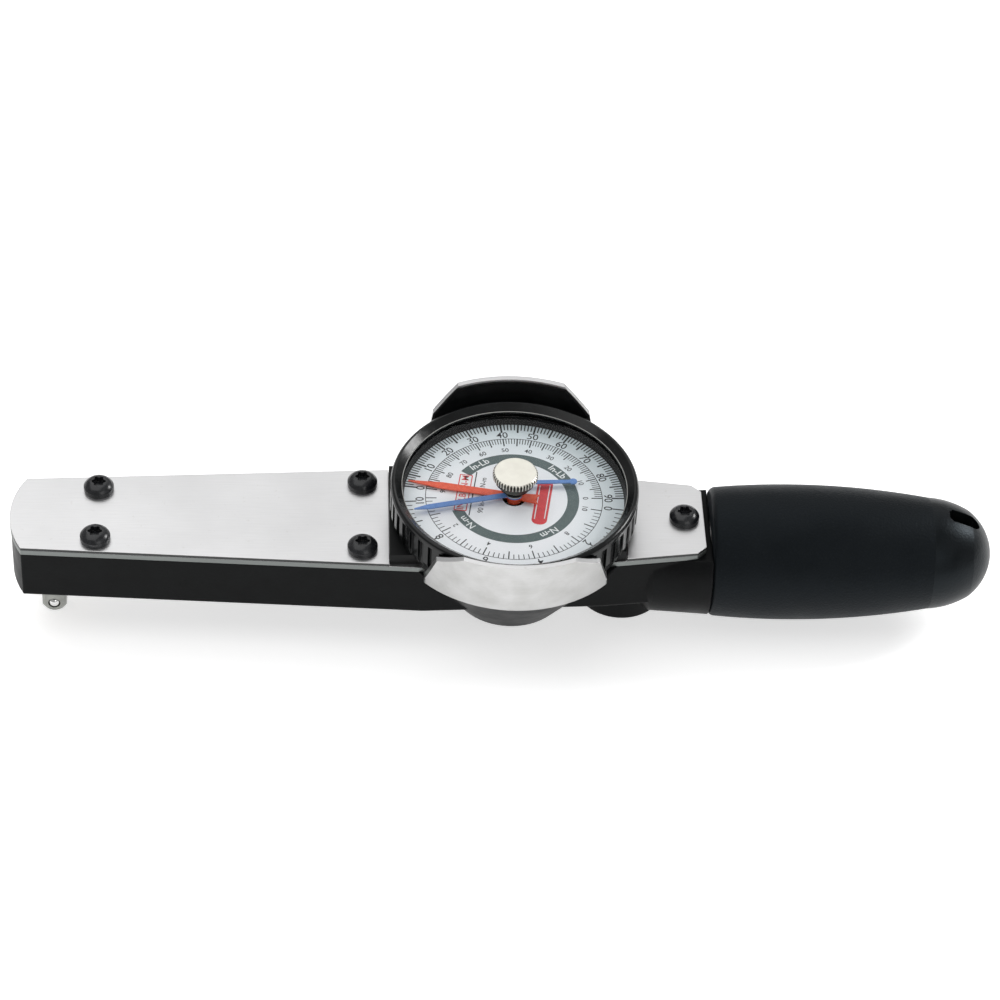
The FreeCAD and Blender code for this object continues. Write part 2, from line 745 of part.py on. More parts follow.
def make_drive_shaft():
    body = new_body("drive_shaft")
    sketch = new_sketch(body, "XZ_Plane")
    profile = [
        ("0", "square_long-0.4"),
        ("journal_r-0.5", "square_long-0.4"),
        ("journal_r", "square_long+0.2"),
        ("journal_r", "hub_bottom"),
        ("hub_r", "hub_bottom"),
        ("hub_r", "hub_top"),
        ("arm_boss_r", "hub_top"),
        ("arm_boss_r", "hub_top+arm_thick"),
        ("top_journal_r", "hub_top+arm_thick"),
        ("top_journal_r", "spindle_top"),
        ("0", "spindle_top"),
    ]
    add_loop(sketch, profile)
    turned(body, sketch, (sketch, ["V_Axis"]))
    # the square, with its edges cut across
    sketch = new_sketch(body, "XY_Plane", "0")
    long_side = "square_half-square_edge"
    octagon = [
        (f"-({long_side})", "-square_half"),
        (long_side, "-square_half"),
        ("square_half", f"-({long_side})"),
        ("square_half", long_side),
        (long_side, "square_half"),
        (f"-({long_side})", "square_half"),
        ("-square_half", long_side),
        ("-square_half", f"-({long_side})"),
    ]
    add_loop(sketch, octagon)
    pad(body, sketch, "square_long")
    # a turned lead-in, which takes the corners off the square's end
    sketch = new_sketch(body, "XZ_Plane")
    lead_in = [
        ("lead_in_r", "0"),
        ("lead_in_far_r", "0"),
        ("lead_in_far_r", "lead_in_high"),
    ]
    add_loop(sketch, lead_in)
    turned(body, sketch, (sketch, ["V_Axis"]), remove=True)
    # a slot for the beam, and the cross hole that pins it
    sketch = new_sketch(body, "XY_Plane", "hub_top")
    slot = [
        ("-12", "-(beam_half+0.02)"),
        ("12", "-(beam_half+0.02)"),
        ("12", "beam_half+0.02"),
        ("-12", "beam_half+0.02"),
    ]
    add_loop(sketch, slot)
    cut(body, sketch, "hub_top-beam_bottom+0.02")
    sketch = new_sketch(body, "XZ_Plane", "12")
    add_circle(sketch, "0", "beam_pin_level", "beam_pin_r+0.02")
    cut(body, sketch, both=True)
    # tapped holes for the arm's screws
    holes = [("0", f"{side}6.2", "0.97") for side in ("", "-")]
    drill(body, "hub_top", holes, "2.8")
    # the blind hole for the detent ball, in the face on the side of -Y
    sketch = new_sketch(body, "XZ_Plane", "square_half")
    add_circle(sketch, "0", "ball_level", "ball_hole")
    cut(body, sketch, "ball_hole_deep")
    return body


def make_detent():
    ball = DOC.addObject("Part::Sphere", "detent_ball")
    ball.setExpression("Radius", bound("ball_r"))
    ball.setExpression("Placement.Base.y", bound("-(square_half+ball_proud-ball_r)"))
    ball.setExpression("Placement.Base.z", bound("ball_level"))
    node(ball, "detent_ball")
    # the spring lies along Y behind the ball
    wire = 0.16
    coil = size("ball_hole") - 0.1 - wire
    start = -size("square_half+ball_proud-2*ball_r")
    end = size("ball_hole_deep-square_half")
    helix = Part.makeHelix(0.62, end - start - 2 * wire, coil)
    circle = Part.Circle(FreeCAD.Vector(coil, 0, 0), FreeCAD.Vector(0, 1, 0), wire)
    profile = Part.Wire([circle.toShape()])
    spring = DOC.addObject("Part::Feature", "detent_spring")
    spring.Shape = Part.Wire(helix.Edges).makePipeShell([profile], True, True)
    turn = FreeCAD.Rotation(FreeCAD.Vector(1, 0, 0), -90)
    spring.Placement = FreeCAD.Placement(FreeCAD.Vector(0, start + wire, size("ball_level")), turn)
    node(spring, "detent_spring")


def make_beam():
    outline = [
        ("-hub_r+0.3", "-beam_half"),
        ("beam_end_x", "-beam_half"),
        ("beam_end_x", "beam_half"),
        ("-hub_r+0.3", "beam_half"),
    ]
    body = flat_part("measuring_beam", outline, "beam_bottom", "beam_top-beam_bottom")
    sketch = new_sketch(body, "XZ_Plane", "12")
    add_circle(sketch, "0", "beam_pin_level", "beam_pin_r+0.02")
    cut(body, sketch, both=True)
    # the pin lies along Y
    pin = new_body("beam_pin", "0", "beam_pin_level")
    sketch = new_sketch(pin, "XZ_Plane", "-beam_pin_half")
    add_circle(sketch, "0", "0", "beam_pin_r")
    pad(pin, sketch, "2*beam_pin_half")
    pins = []
    for index, side in enumerate(("", "-")):
        pin = member(ring_free(f"load_pin_{index + 1}", "load_pin_r", "load_pin_bottom", "load_pin_top"))
        pin.setExpression("Placement.Base.x", bound("load_boss_x"))
        pin.setExpression("Placement.Base.y", bound(f"{side}(beam_half+0.02+load_pin_r)"))
        pins.append(pin)
    group("load_pins", pins)


def ring_free(name, radius, bottom, top):
    """A plain round pin with a small bevel at its upper end."""
    profile = [("0", bottom), (radius, bottom), (radius, f"{top}-0.3"), (f"{radius}-0.3", top), ("0", top)]
    return turned_part(name, profile)


# ---------------------------------------------------------------- arm, gears and movement
def make_indicator_arm():
    outline = [
        ("0", "-hub_r"),
        ("9", "-arm_root_half"),
        ("arm_tip_x", "-arm_tip_half"),
        ("arm_tip_x", "arm_tip_half"),
        ("9", "arm_root_half"),
        ("0", "hub_r", "hub_r+0.001", -1),
    ]
    body = flat_part("indicator_arm", outline, "hub_top", "arm_thick")
    top = "hub_top+arm_thick"
    holes = [("0", "0", "arm_boss_r+0.02"), ("0", "6.2", "1.0"), ("0", "-6.2", "1.0")]
    holes += [(x, "0", "rivet_r+0.02") for x in ("rivet_inner_x", "rivet_outer_x")]
    holes += [(str(x), "0", "1.6") for x in (24, 38, 52, 66, 80)]
    drill(body, top, holes, "3")
    screws = []
    for index, side in enumerate(("", "-")):
        profile = [
            ("0", "hub_top-2.4"),
            ("0.93", "hub_top-2.4"),
            ("0.93", top),
            ("1.65", top),
            ("1.65", f"{top}+0.7"),
            ("1.3", f"{top}+1.0"),
            ("0", f"{top}+1.0"),
        ]
        screw = member(turned_part(f"arm_screw_{index + 1}", profile))
        screw.setExpression("Placement.Base.y", bound(f"{side}6.2"))
        sketch = new_sketch(screw, "XY_Plane", f"{top}+1.0")
        add_loop(sketch, [("-2", "-0.22"), ("2", "-0.22"), ("2", "0.22"), ("-2", "0.22")])
        cut(screw, sketch, "0.5")
        screws.append(screw)
    group("arm_screws", screws)


def make_sector_gear():
    """A gear sector about the drive axis, cut from sheet. Its pitch radius is half the module times
    the teeth of the full circle, so that with the pinion it fills the distance to the dial."""
    pitch = "gear_module*sector_full_teeth/2"
    span = "360/sector_full_teeth*(sector_teeth+2)/2"
    outer = f"({pitch}+tooth_addendum)"
    outline = [
        ("sector_inner", "-3.2"),
        (f"{outer}*cos({span})", f"-{outer}*sin({span})", outer, -1),
        (f"{outer}*cos({span})", f"{outer}*sin({span})"),
        ("sector_inner", "3.2"),
    ]
    base = "hub_top+arm_thick"
    body = flat_part("sector_gear", outline, base, "sector_thick")
    step = "360/sector_full_teeth"
    top_half = "(gear_module*pi/4+tooth_play/2+tooth_addendum*tan(20)+0.08)"
    root_half = "(gear_module*pi/4+tooth_play/2-tooth_dedendum*tan(20))"
    sketch = new_sketch(body, "XY_Plane", f"{base}+sector_thick")
    space = [
        (f"{pitch}-tooth_dedendum", f"-{root_half}"),
        (f"{pitch}+tooth_addendum+0.22", f"-{top_half}"),
        (f"{pitch}+tooth_addendum+0.22", top_half),
        (f"{pitch}-tooth_dedendum", root_half),
    ]
    add_loop(sketch, space)
    body_space = cut(body, sketch, "3")
    arc = f"{step}*(sector_teeth-1)/2"
    # half the spaces lie on each side of the middle one, which faces the pinion at rest
    for reverse in (False, True):
        pattern = body.newObject("PartDesign::PolarPattern", "sector_gear_pattern")
        pattern.Originals = [body_space]
        axis = [f for f in body.Origin.OriginFeatures if f.Role == "Z_Axis"][0]
        pattern.Axis = (axis, [""])
        pattern.Reversed = reverse
        pattern.setExpression("Angle", bound(arc))
        pattern.setExpression("Occurrences", bound("(sector_teeth+1)/2"))
        body.Tip = pattern
        DOC.recompute()
    rivet_places = ("rivet_inner_x", "rivet_outer_x")
    drill(body, f"{base}+sector_thick", [(x, "0", "rivet_r+0.02") for x in rivet_places], "3")
    rivets = []
    for index, x in enumerate(rivet_places):
        profile = [
            ("0", "hub_top-0.4"),
            ("rivet_r+0.6", "hub_top-0.4"),
            ("rivet_r+0.6", "hub_top"),
            ("rivet_r", "hub_top"),
            ("rivet_r", f"{base}+sector_thick"),
            ("rivet_r+0.5", f"{base}+sector_thick"),
            ("rivet_r+0.3", f"{base}+sector_thick+0.35"),
            ("0", f"{base}+sector_thick+0.35"),
        ]
        rivets.append(member(turned_part(f"sector_rivet_{index + 1}", profile, x)))
    group("sector_rivets", rivets)


def involute_point(base, radius, turn):
    """A point of an involute flank at a radius, turned about the gear's axis."""
    roll = math.sqrt(max(0.0, (radius / base) ** 2 - 1))
    angle = roll - math.atan(roll) + turn
    return radius * math.cos(angle), radius * math.sin(angle)


def make_pinion_arbor():
    """The staff that carries the main pointer, with its pinion in one piece."""
    bottom = "bridge_bottom+0.1"
    pinion_bottom = "hub_top+arm_thick-0.2"
    pinion_top = "hub_top+arm_thick+sector_thick+0.2"
    tip = "gear_module*pinion_teeth/2+tooth_addendum"
    profile = [
        ("0", bottom),
        ("arbor_pivot", bottom),
        ("arbor_pivot", "bridge_bottom+bridge_thick+0.15"),
        (tip, "bridge_bottom+bridge_thick+0.15"),
        (tip, pinion_top),
        ("arbor_r", pinion_top),
        ("arbor_r", "plate_top+1.2"),
        ("collet_r", "plate_top+1.2"),
        ("collet_r", "plate_top+2.2"),
        ("arbor_r", "plate_top+2.2"),
        ("arbor_r", "plate_top+main_pointer_level-1.4"),
        ("arbor_r-0.2", "plate_top+main_pointer_level-1.4"),
        ("arbor_r-0.2", "arbor_top-0.2"),
        ("0", "arbor_top-0.2"),
    ]
    body = turned_part("pinion_arbor", profile, "dial_x")
    # one tooth space, its flanks involute; a space of the sector faces this axis at rest, so a tooth
    # of the pinion points towards the sector
    pitch = size("gear_module*pinion_teeth/2")
    base = pitch * math.cos(math.radians(20))
    root = pitch - size("tooth_dedendum")
    outside = pitch + size("tooth_addendum")
    half_step = math.pi / size("pinion_teeth")
    tan20 = math.tan(math.radians(20))
    half_tooth = half_step / 2 - size("tooth_play") / 2 / pitch
    flank_turn = -(half_tooth + tan20 - math.radians(20))
    radii = [base + (outside + 0.1 - base) * part / 4 for part in range(5)]
    upper = [involute_point(base, radius, flank_turn) for radius in radii]
    # this flank belongs to the tooth about angle 0; the space lies beyond it, so it is mirrored
    space_middle = half_step
    right = [(r, -a) for r, a in (polar_of(x, y) for x, y in upper)]
    left = [(r, 2 * space_middle - a) for r, a in right]
    start = (root, right[0][1])
    end = (root, left[0][1])
    outline = [start] + right + left[::-1] + [end]
    points = [(r * math.cos(a), r * math.sin(a)) for r, a in outline]
    sketch = new_sketch(body, "XY_Plane", pinion_top)
    add_loop(sketch, [(f"{x:.5f}", f"{y:.5f}") for x, y in points])
    space = cut(body, sketch, f"{pinion_top}-({pinion_bottom})+0.6")
    polar(body, space, "pinion_teeth")
    return body


def polar_of(x, y):
    return math.hypot(x, y), math.atan2(y, x)


def make_movement():
    outline = [
        ("-bridge_front", "-4.6"),
        ("bridge_rear-6", "-bridge_half"),
        ("bridge_rear", "-bridge_half"),
        ("bridge_rear", "bridge_half"),
        ("bridge_rear-6", "bridge_half"),
        ("-bridge_front", "4.6", "4.7", -1),
    ]
    body = flat_part("movement_bridge", outline, "bridge_bottom", "bridge_thick", "dial_x")
    holes = [("0", "0", "lower_jewel_r+0.02")]
    holes += [("pillar_x", f"{side}pillar_y", "1.1") for side in ("", "-")]
    drill(body, "bridge_bottom+bridge_thick", holes, "2")
    pillars = []
    screws = []
    for index, side in enumerate(("", "-")):
        profile = [
            ("1.05", "bridge_bottom+bridge_thick"),
            ("pillar_r", "bridge_bottom+bridge_thick"),
            ("pillar_r", FRAME_BOTTOM),
            ("pillar_spigot", FRAME_BOTTOM),
            ("pillar_spigot", FRAME_TOP),
            ("0.6", FRAME_TOP),
            ("0.6", f"{FRAME_BOTTOM}+0.1"),
            ("1.05", f"{FRAME_BOTTOM}+0.1"),
        ]
        pillar = member(turned_part(f"bridge_pillar_{index + 1}", profile, "dial_x+pillar_x"))
        pillar.setExpression("Placement.Base.y", bound(f"{side}pillar_y"))
        pillars.append(pillar)
        profile = [
            ("0", "bridge_bottom-0.9"),
            ("1.5", "bridge_bottom-0.9"),
            ("1.8", "bridge_bottom-0.6"),
            ("1.8", "bridge_bottom"),
            ("1.0", "bridge_bottom"),
            ("1.0", f"{FRAME_BOTTOM}-0.4"),
            ("0", f"{FRAME_BOTTOM}-0.4"),
        ]
        screw = member(turned_part(f"bridge_screw_{index + 1}", profile, "dial_x+pillar_x"))
        screw.setExpression("Placement.Base.y", bound(f"{side}pillar_y"))
        screws.append(screw)
    group("bridge_pillars", pillars)
    group("bridge_screws", screws)
    lower = [
        ("arbor_pivot+0.03", "bridge_bottom+0.1"),
        ("lower_jewel_r", "bridge_bottom+0.1"),
        ("lower_jewel_r", "bridge_bottom+bridge_thick"),
        ("arbor_pivot+0.03", "bridge_bottom+bridge_thick"),
    ]
    turned_part("lower_arbor_bush", lower, "dial_x")
    upper = [
        ("arbor_r+0.03", FRAME_BOTTOM),
        ("upper_jewel_r", FRAME_BOTTOM),
        ("upper_jewel_r", FRAME_TOP),
        ("arbor_r+0.03", FRAME_TOP),
    ]
    turned_part("upper_arbor_bush", upper, "dial_x")


def spiral_strip(inner, outer, turns, thick, bottom, tall):
    """A flat spiral spring standing on edge, as one solid."""
    samples = int(24 * turns)
    near = []
    far = []
    for step in range(samples + 1):
        part = step / samples
        angle = 2 * math.pi * turns * part
        radius = inner + (outer - inner) * part
        near.append(FreeCAD.Vector(radius * math.cos(angle), radius * math.sin(angle), bottom))
        reach = radius + thick
        far.append(FreeCAD.Vector(reach * math.cos(angle), reach * math.sin(angle), bottom))
    curves = []
    for points in (near, far[::-1]):
        curve = Part.BSplineCurve()
        curve.interpolate(points)
        curves.append(curve.toShape())
    ends = [Part.makeLine(near[-1], far[-1]), Part.makeLine(far[0], near[0])]
    face = Part.Face(Part.Wire([curves[0], ends[0], curves[1], ends[1]]))
    return face.extrude(FreeCAD.Vector(0, 0, tall))


def make_hairspring():
    """The spiral that keeps the pinion's teeth against the sector, and the stud at its outer end."""
    spring = DOC.addObject("Part::Feature", "hairspring")
    bottom = size("plate_top+1.4")
    spring.Shape = spiral_strip(size("collet_r") + 0.02, 8.0, 4.0, 0.14, bottom, 0.6)
    spring.Placement = FreeCAD.Placement(FreeCAD.Vector(size("dial_x"), 0, 0), FreeCAD.Rotation())
    node(spring, "hairspring")
    floor = f"{FRAME_TOP}+cup_floor"
    stud = ring_free("hairspring_stud", "0.7", floor, "plate_top+2.4")
    stud.setExpression("Placement.Base.x", bound("dial_x+8.9"))


# ---------------------------------------------------------------- dial housing and bezel
def make_dial_cup():
    body = new_body("dial_cup", "dial_x")
    sketch = new_sketch(body, "XY_Plane", FRAME_TOP)
    block = [
        ("-cup_front_x", "-cup_front_half"),
        ("cup_near_x", "-cup_rear_half"),
        ("cup_far_x", "cup_rear_half"),
        ("-cup_front_x", "cup_front_half"),
    ]
    add_loop(sketch, block)
    pad(body, sketch, "cover_thick+cup_block_top")
    sketch = new_sketch(body, "XZ_Plane")
    top = "plate_top+cup_top"
    wall = [
        ("0", FRAME_TOP),
        ("cup_r", FRAME_TOP),
        ("cup_r", "plate_top+3.1"),
        ("cup_r-0.55", "plate_top+3.1"),
        ("cup_r-0.55", "plate_top+3.9"),
        ("cup_r", "plate_top+3.9"),
        ("cup_r", top),
        ("0", top),
    ]
    add_loop(sketch, wall)
    turned(body, sketch, (sketch, ["V_Axis"]))
    # the hollow for the pointer's staff and the spiral spring
    drill(body, top, [("0", "0", "cup_inner")], "cup_top+cover_thick-cup_floor")
    holes = [("0", "0", "upper_jewel_r+0.6")]
    holes += [(x.replace("dial_x+", ""), y, "1.1") for x, y in cup_screw_places()]
    drill(body, f"{FRAME_TOP}+cup_floor", holes, "3")
    screws = []
    for index, (x, y) in enumerate(cup_screw_places()):
        seat = f"{FRAME_TOP}+cup_floor"
        profile = [
            ("0", f"{FRAME_BOTTOM}+0.1"),
            ("0.95", f"{FRAME_BOTTOM}+0.1"),
            ("0.95", seat),
            ("1.9", seat),
            ("1.9", f"{seat}+0.8"),
            ("1.5", f"{seat}+1.2"),
            ("0", f"{seat}+1.2"),
        ]
        screw = member(turned_part(f"cup_screw_{index + 1}", profile, x))
        screw.setExpression("Placement.Base.y", bound(y))
        screws.append(screw)
    group("cup_screws", screws)


def make_bezel():
    top = "plate_top+bezel_top"
    profile = [
        ("bezel_bore", "plate_top+bezel_bottom"),
        ("bezel_r-0.5", "plate_top+bezel_bottom"),
        ("bezel_r", "plate_top+bezel_bottom+1.8"),
        ("bezel_r", "plate_top+bezel_rim-bezel_round", "bezel_round+0.05", -1),
        ("bezel_r-bezel_round", "plate_top+bezel_rim"),
        ("bezel_lip+0.2", f"{top}+0.1"),
        ("bezel_lip", top),
        ("bezel_lip", f"{top}-0.5"),
        ("bezel_seat", f"{top}-0.65"),
        ("bezel_seat", "plate_top+dial_top-dial_thick"),
        ("bezel_bore+0.25", "plate_top+dial_top-dial_thick"),
        ("bezel_bore+0.25", "plate_top+dial_top-dial_thick-retainer_thick"),
        ("bezel_bore", "plate_top+dial_top-dial_thick-retainer_thick"),
        ("bezel_bore", "plate_top+3.95"),
        ("bezel_bore+0.45", "plate_top+3.95"),
        ("bezel_bore+0.45", "plate_top+3.05"),
        ("bezel_bore", "plate_top+3.05"),
    ]
    body = turned_part("bezel_ring", profile, "dial_x")
    # finger grooves all round the rim
    sketch = new_sketch(body, "XY_Plane", "plate_top+bezel_bottom-0.5")
    gap = [
        ("bezel_r-rib_deep", "-rib_gap_floor"),
        ("bezel_r+0.5", "-rib_gap_mouth"),
        ("bezel_r+0.5", "rib_gap_mouth"),
        ("bezel_r-rib_deep", "rib_gap_floor"),
    ]
    add_loop(sketch, gap)
    groove = cut(body, sketch, "bezel_rim-bezel_bottom-1.4", reverse=True)
    polar(body, groove, "bezel_ribs")
    # the wire that holds the bezel on the cup
    wire = ("cup_r-0.5", "bezel_bore+0.4", "plate_top+3.2", "plate_top+3.8")
    ring_part("bezel_snap_ring", *wire, "dial_x")
    seat = "bezel_seat-0.05"
    dial_bottom = "plate_top+dial_top-dial_thick"
    retainer = ("bezel_lip-0.5", "bezel_bore+0.2", f"{dial_bottom}-retainer_thick+0.05", dial_bottom)
    ring_part("dial_retainer", *retainer, "dial_x")
    ring_part("dial_face", "dial_hole", seat, dial_bottom, "plate_top+dial_top", "dial_x")
    gasket = "0.5"
    spacer_top = f"plate_top+crystal_bottom-{gasket}"
    spacer = [
        ("bezel_lip-0.5", "plate_top+dial_top"),
        (seat, "plate_top+dial_top"),
        (seat, spacer_top),
        ("bezel_lip", spacer_top),
    ]
    turned_part("dial_spacer", spacer, "dial_x")
    ring_part("crystal_gasket", "bezel_lip", seat, spacer_top, "plate_top+crystal_bottom", "dial_x")
    crystal = [
        ("crystal_hole", "plate_top+crystal_bottom"),
        (seat, "plate_top+crystal_bottom"),
        (seat, "plate_top+crystal_edge"),
        ("bezel_lip-0.05", "plate_top+crystal_edge", "700", -1),
        ("5", "plate_top+crystal_centre"),
        ("crystal_hole", "plate_top+crystal_centre"),
    ]
    turned_part("crystal", crystal, "dial_x")


# ---------------------------------------------------------------- pointers and knob
def make_main_pointer():
    level = "plate_top+main_pointer_level"
    hub = [
        ("arbor_r-0.2", f"{level}-1.3"),
        ("1.9", f"{level}-1.3"),
        ("1.9", f"{level}+0.4"),
        ("1.6", f"{level}+0.6"),
        ("arbor_r-0.2", f"{level}+0.6"),
    ]
    body = turned_part("main_pointer", hub, "dial_x", "0", "main_pointer_angle")
    sketch = new_sketch(body, "XY_Plane", level)
    blade = [
        ("main_pointer_long", "-0.15"),
        ("main_pointer_long", "0.15"),
        ("main_pointer_wide", "main_pointer_half"),
        ("-1.0", "main_pointer_half"),
        ("-main_pointer_tail", "1.8"),
        ("-(main_pointer_tail-0.9)", "0"),
        ("-main_pointer_tail", "-1.8"),
        ("-1.0", "-main_pointer_half"),
        ("main_pointer_wide", "-main_pointer_half"),
    ]
    add_loop(sketch, blade)
    pad(body, sketch, "pointer_thick")
    drill(body, f"{level}+2", [("0", "0", "arbor_r-0.2+0.001")], "6")


def make_memory_set():
    level = "plate_top+memory_pointer_level"
    body = new_body("memory_pointer", "dial_x", "0", "memory_pointer_angle")
    sketch = new_sketch(body, "XY_Plane", level)
    # the tail has an elbow, so that it runs beside the line of the blade
    blade = [
        ("memory_pointer_long", "-0.15"),
        ("memory_pointer_long", "0.15"),
        ("memory_pointer_wide", "memory_pointer_half"),
        ("-0.5", "memory_pointer_half"),
        ("-memory_elbow_x", "0.7-memory_elbow_y"),
        ("-memory_tail_x", "0.6-memory_tail_y"),
        ("-memory_tail_x", "-(memory_tail_y+0.6)"),
        ("-memory_elbow_x", "-(memory_elbow_y+0.7)"),
        ("0.5", "-memory_pointer_half"),
        ("memory_pointer_wide", "-memory_pointer_half"),
    ]
    add_loop(sketch, blade)
    pad(body, sketch, "pointer_thick")
    sketch = new_sketch(body, "XY_Plane", level)
    add_circle(sketch, "-memory_tail_x", "-memory_tail_y", "1.05")
    pad(body, sketch, "pointer_thick")
    sketch = new_sketch(body, "XY_Plane", level)
    add_circle(sketch, "0", "0", "2.3")
    pad(body, sketch, "pointer_thick+0.25")
    drill(body, f"{level}+1", [("0", "0", "memory_shaft_r")], "3")
    shaft = [
        ("0", level),
        ("memory_shaft_r", level),
        ("memory_shaft_r", "plate_top+knob_top-1.6"),
        ("0", "plate_top+knob_top-1.6"),
    ]
    turned_part("memory_shaft", shaft, "dial_x")
    ring_part("memory_clip", "memory_shaft_r", "2.5", "plate_top+9.0", "plate_top+9.3", "dial_x")
    washer = [
        ("memory_shaft_r+0.1", "plate_top+crystal_centre+0.05"),
        ("3.9", "plate_top+crystal_centre+0.05"),
        ("3.9", "plate_top+knob_bottom"),
        ("memory_shaft_r+0.1", "plate_top+knob_bottom"),
    ]
    turned_part("memory_washer", washer, "dial_x")
    knob = [
        ("0", "plate_top+knob_top-1.6"),
        ("memory_shaft_r", "plate_top+knob_top-1.6"),
        ("memory_shaft_r", "plate_top+knob_bottom"),
        ("knob_collar-0.4", "plate_top+knob_bottom"),
        ("knob_collar", "plate_top+knob_bottom+0.4"),
        ("knob_collar", "plate_top+knob_bottom+1.0"),
        ("knob_waist", "plate_top+knob_bottom+1.7"),
        ("knob_waist", "plate_top+knob_step"),
        ("knob_r", "plate_top+knob_step+0.2"),
        ("knob_r", "plate_top+knob_top-0.5"),
        ("knob_face_r", "plate_top+knob_top"),
        ("0", "plate_top+knob_top"),
    ]
    body = turned_part("memory_knob", knob, "dial_x")
    sketch = new_sketch(body, "XY_Plane", "plate_top+knob_step-0.1")
    tooth = [
        ("knob_r-groove_deep", "0"),
        ("knob_r+0.1", "-0.42"),
        ("knob_r+0.1", "0.42"),
    ]
    add_loop(sketch, tooth)
    groove = cut(body, sketch, "4", reverse=True)
    polar(body, groove, "knob_grooves")


# ---------------------------------------------------------------- handle
def lengthwise_part(name, corners):
    """A piece turned about the handle's axis; corners are (distance along X, radius)."""
    body = new_body(name, "0", "handle_level")
    sketch = new_sketch(body, "XZ_Plane")
    add_loop(sketch, corners)
    turned(body, sketch, (sketch, ["H_Axis"]))
    return body


def make_handle():
    core = [
        ("core_start_x+0.1", "core_bore"),
        ("core_end_x", "core_bore"),
        ("core_end_x", "core_r-0.02"),
        ("core_start_x+0.1", "core_r-0.02"),
    ]
    body = lengthwise_part("handle_core", core)
    drill(body, "12", [("screw_rear_x", "0", "screw_tapped")], "12")
    grip = [
        ("grip_start_x", "grip_bore"),
        ("seam_x", "grip_bore"),
        ("seam_x", "seam_r", "grip_arc", -1),
        ("grip_lip_x", "grip_lip_r", "1.9", -1),
        ("grip_start_x", "grip_front_r"),
    ]
    lengthwise_part("handle_grip", grip)
    cap = [
        ("seam_x-cap_spigot_long", "0"),
        ("seam_x-cap_spigot_long", "core_bore-0.1"),
        ("core_end_x+0.1", "core_bore-0.1"),
        ("core_end_x+0.1", "grip_bore-0.05"),
        ("seam_x", "grip_bore-0.05"),
        ("seam_x", "seam_r", "cap_shoulder_arc", 1),
        ("cap_shoulder_x", "cap_shoulder_r", "cap_nose_arc", 1),
        ("cap_end_x", "0.8"),
        ("cap_end_x", "0"),
    ]
    body = lengthwise_part("end_cap", cap)
    # the hanging slot, straight through from top to bottom
    sketch = new_sketch(body, "XY_Plane", "20")
    slot = [
        ("slot_start_x+1", "-slot_half"),
        ("slot_end_x-2", "-slot_half", "2.6", -1),
        ("slot_end_x", "0", "2.6", -1),
        ("slot_end_x-2", "slot_half"),
        ("slot_start_x+1", "slot_half"),
        ("slot_start_x", "slot_half-1"),
        ("slot_start_x", "-(slot_half-1)"),
    ]
    add_loop(sketch, slot)
    cut(body, sketch)


# ---------------------------------------------------------------- build, check and write
def make_all():
    make_body_casting()
    make_frame_plate()
    make_guard_liners()
    make_cover_plates()
    make_cover_screws()
    make_bushes()
    make_drive_shaft()
    make_detent()
    make_beam()
    make_indicator_arm()
    make_sector_gear()
    make_pinion_arbor()
    make_movement()
    make_hairspring()
    make_dial_cup()
    make_bezel()
    make_main_pointer()
    make_memory_set()
    make_handle()
    DOC.recompute()


def check_and_write():
    problems = []
    for thing in DOC.Objects:
        if "Invalid" in thing.State or "Error" in thing.State:
            problems.append(f"{thing.Label}: {thing.State}")
    for thing in NODES:
        shape = thing.Shape
        if shape.isNull() or not shape.isValid() or not shape.Solids:
            problems.append(f"{thing.Label}: no valid solid")
    if problems:
        raise RuntimeError("; ".join(problems))
    os.makedirs("parts", exist_ok=True)
    for thing in NODES:
        thing.Shape.exportStep(f"parts/{thing.Label}.step")
        print(f"{thing.Label}: {len(thing.Shape.Solids)} solid(s), {thing.Shape.Volume:.2f} mm3")
    print(f"{len(NODES)} nodes")


make_all()
check_and_write()
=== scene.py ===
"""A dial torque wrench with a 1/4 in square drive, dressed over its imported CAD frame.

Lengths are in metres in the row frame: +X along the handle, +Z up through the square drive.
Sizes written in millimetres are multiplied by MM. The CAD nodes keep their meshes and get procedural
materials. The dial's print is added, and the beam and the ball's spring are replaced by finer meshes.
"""

import math

import bmesh
import bpy
from mathutils import Matrix, Vector


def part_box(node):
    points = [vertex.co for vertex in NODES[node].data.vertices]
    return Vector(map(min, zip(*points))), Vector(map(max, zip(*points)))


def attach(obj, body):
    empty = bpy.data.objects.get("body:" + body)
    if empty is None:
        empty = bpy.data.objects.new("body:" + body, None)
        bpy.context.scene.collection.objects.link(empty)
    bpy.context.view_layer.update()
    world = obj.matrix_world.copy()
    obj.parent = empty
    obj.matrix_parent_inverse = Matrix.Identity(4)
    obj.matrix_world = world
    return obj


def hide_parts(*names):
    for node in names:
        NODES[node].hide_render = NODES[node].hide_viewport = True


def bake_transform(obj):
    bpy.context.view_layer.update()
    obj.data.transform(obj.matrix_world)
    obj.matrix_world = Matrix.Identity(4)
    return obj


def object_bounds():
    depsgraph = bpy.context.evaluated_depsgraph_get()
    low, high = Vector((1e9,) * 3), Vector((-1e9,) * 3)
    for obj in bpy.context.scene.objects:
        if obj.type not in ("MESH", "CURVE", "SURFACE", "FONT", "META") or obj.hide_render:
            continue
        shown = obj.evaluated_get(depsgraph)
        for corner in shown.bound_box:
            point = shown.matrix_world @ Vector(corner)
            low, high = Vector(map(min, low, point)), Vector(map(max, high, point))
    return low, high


MM = 0.001
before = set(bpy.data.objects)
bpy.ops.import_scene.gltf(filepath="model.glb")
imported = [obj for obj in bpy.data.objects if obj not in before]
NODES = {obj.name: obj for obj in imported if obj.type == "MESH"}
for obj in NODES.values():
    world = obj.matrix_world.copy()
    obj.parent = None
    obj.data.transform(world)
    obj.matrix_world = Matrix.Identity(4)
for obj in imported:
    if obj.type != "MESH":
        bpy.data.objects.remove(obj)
CAD_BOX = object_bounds()


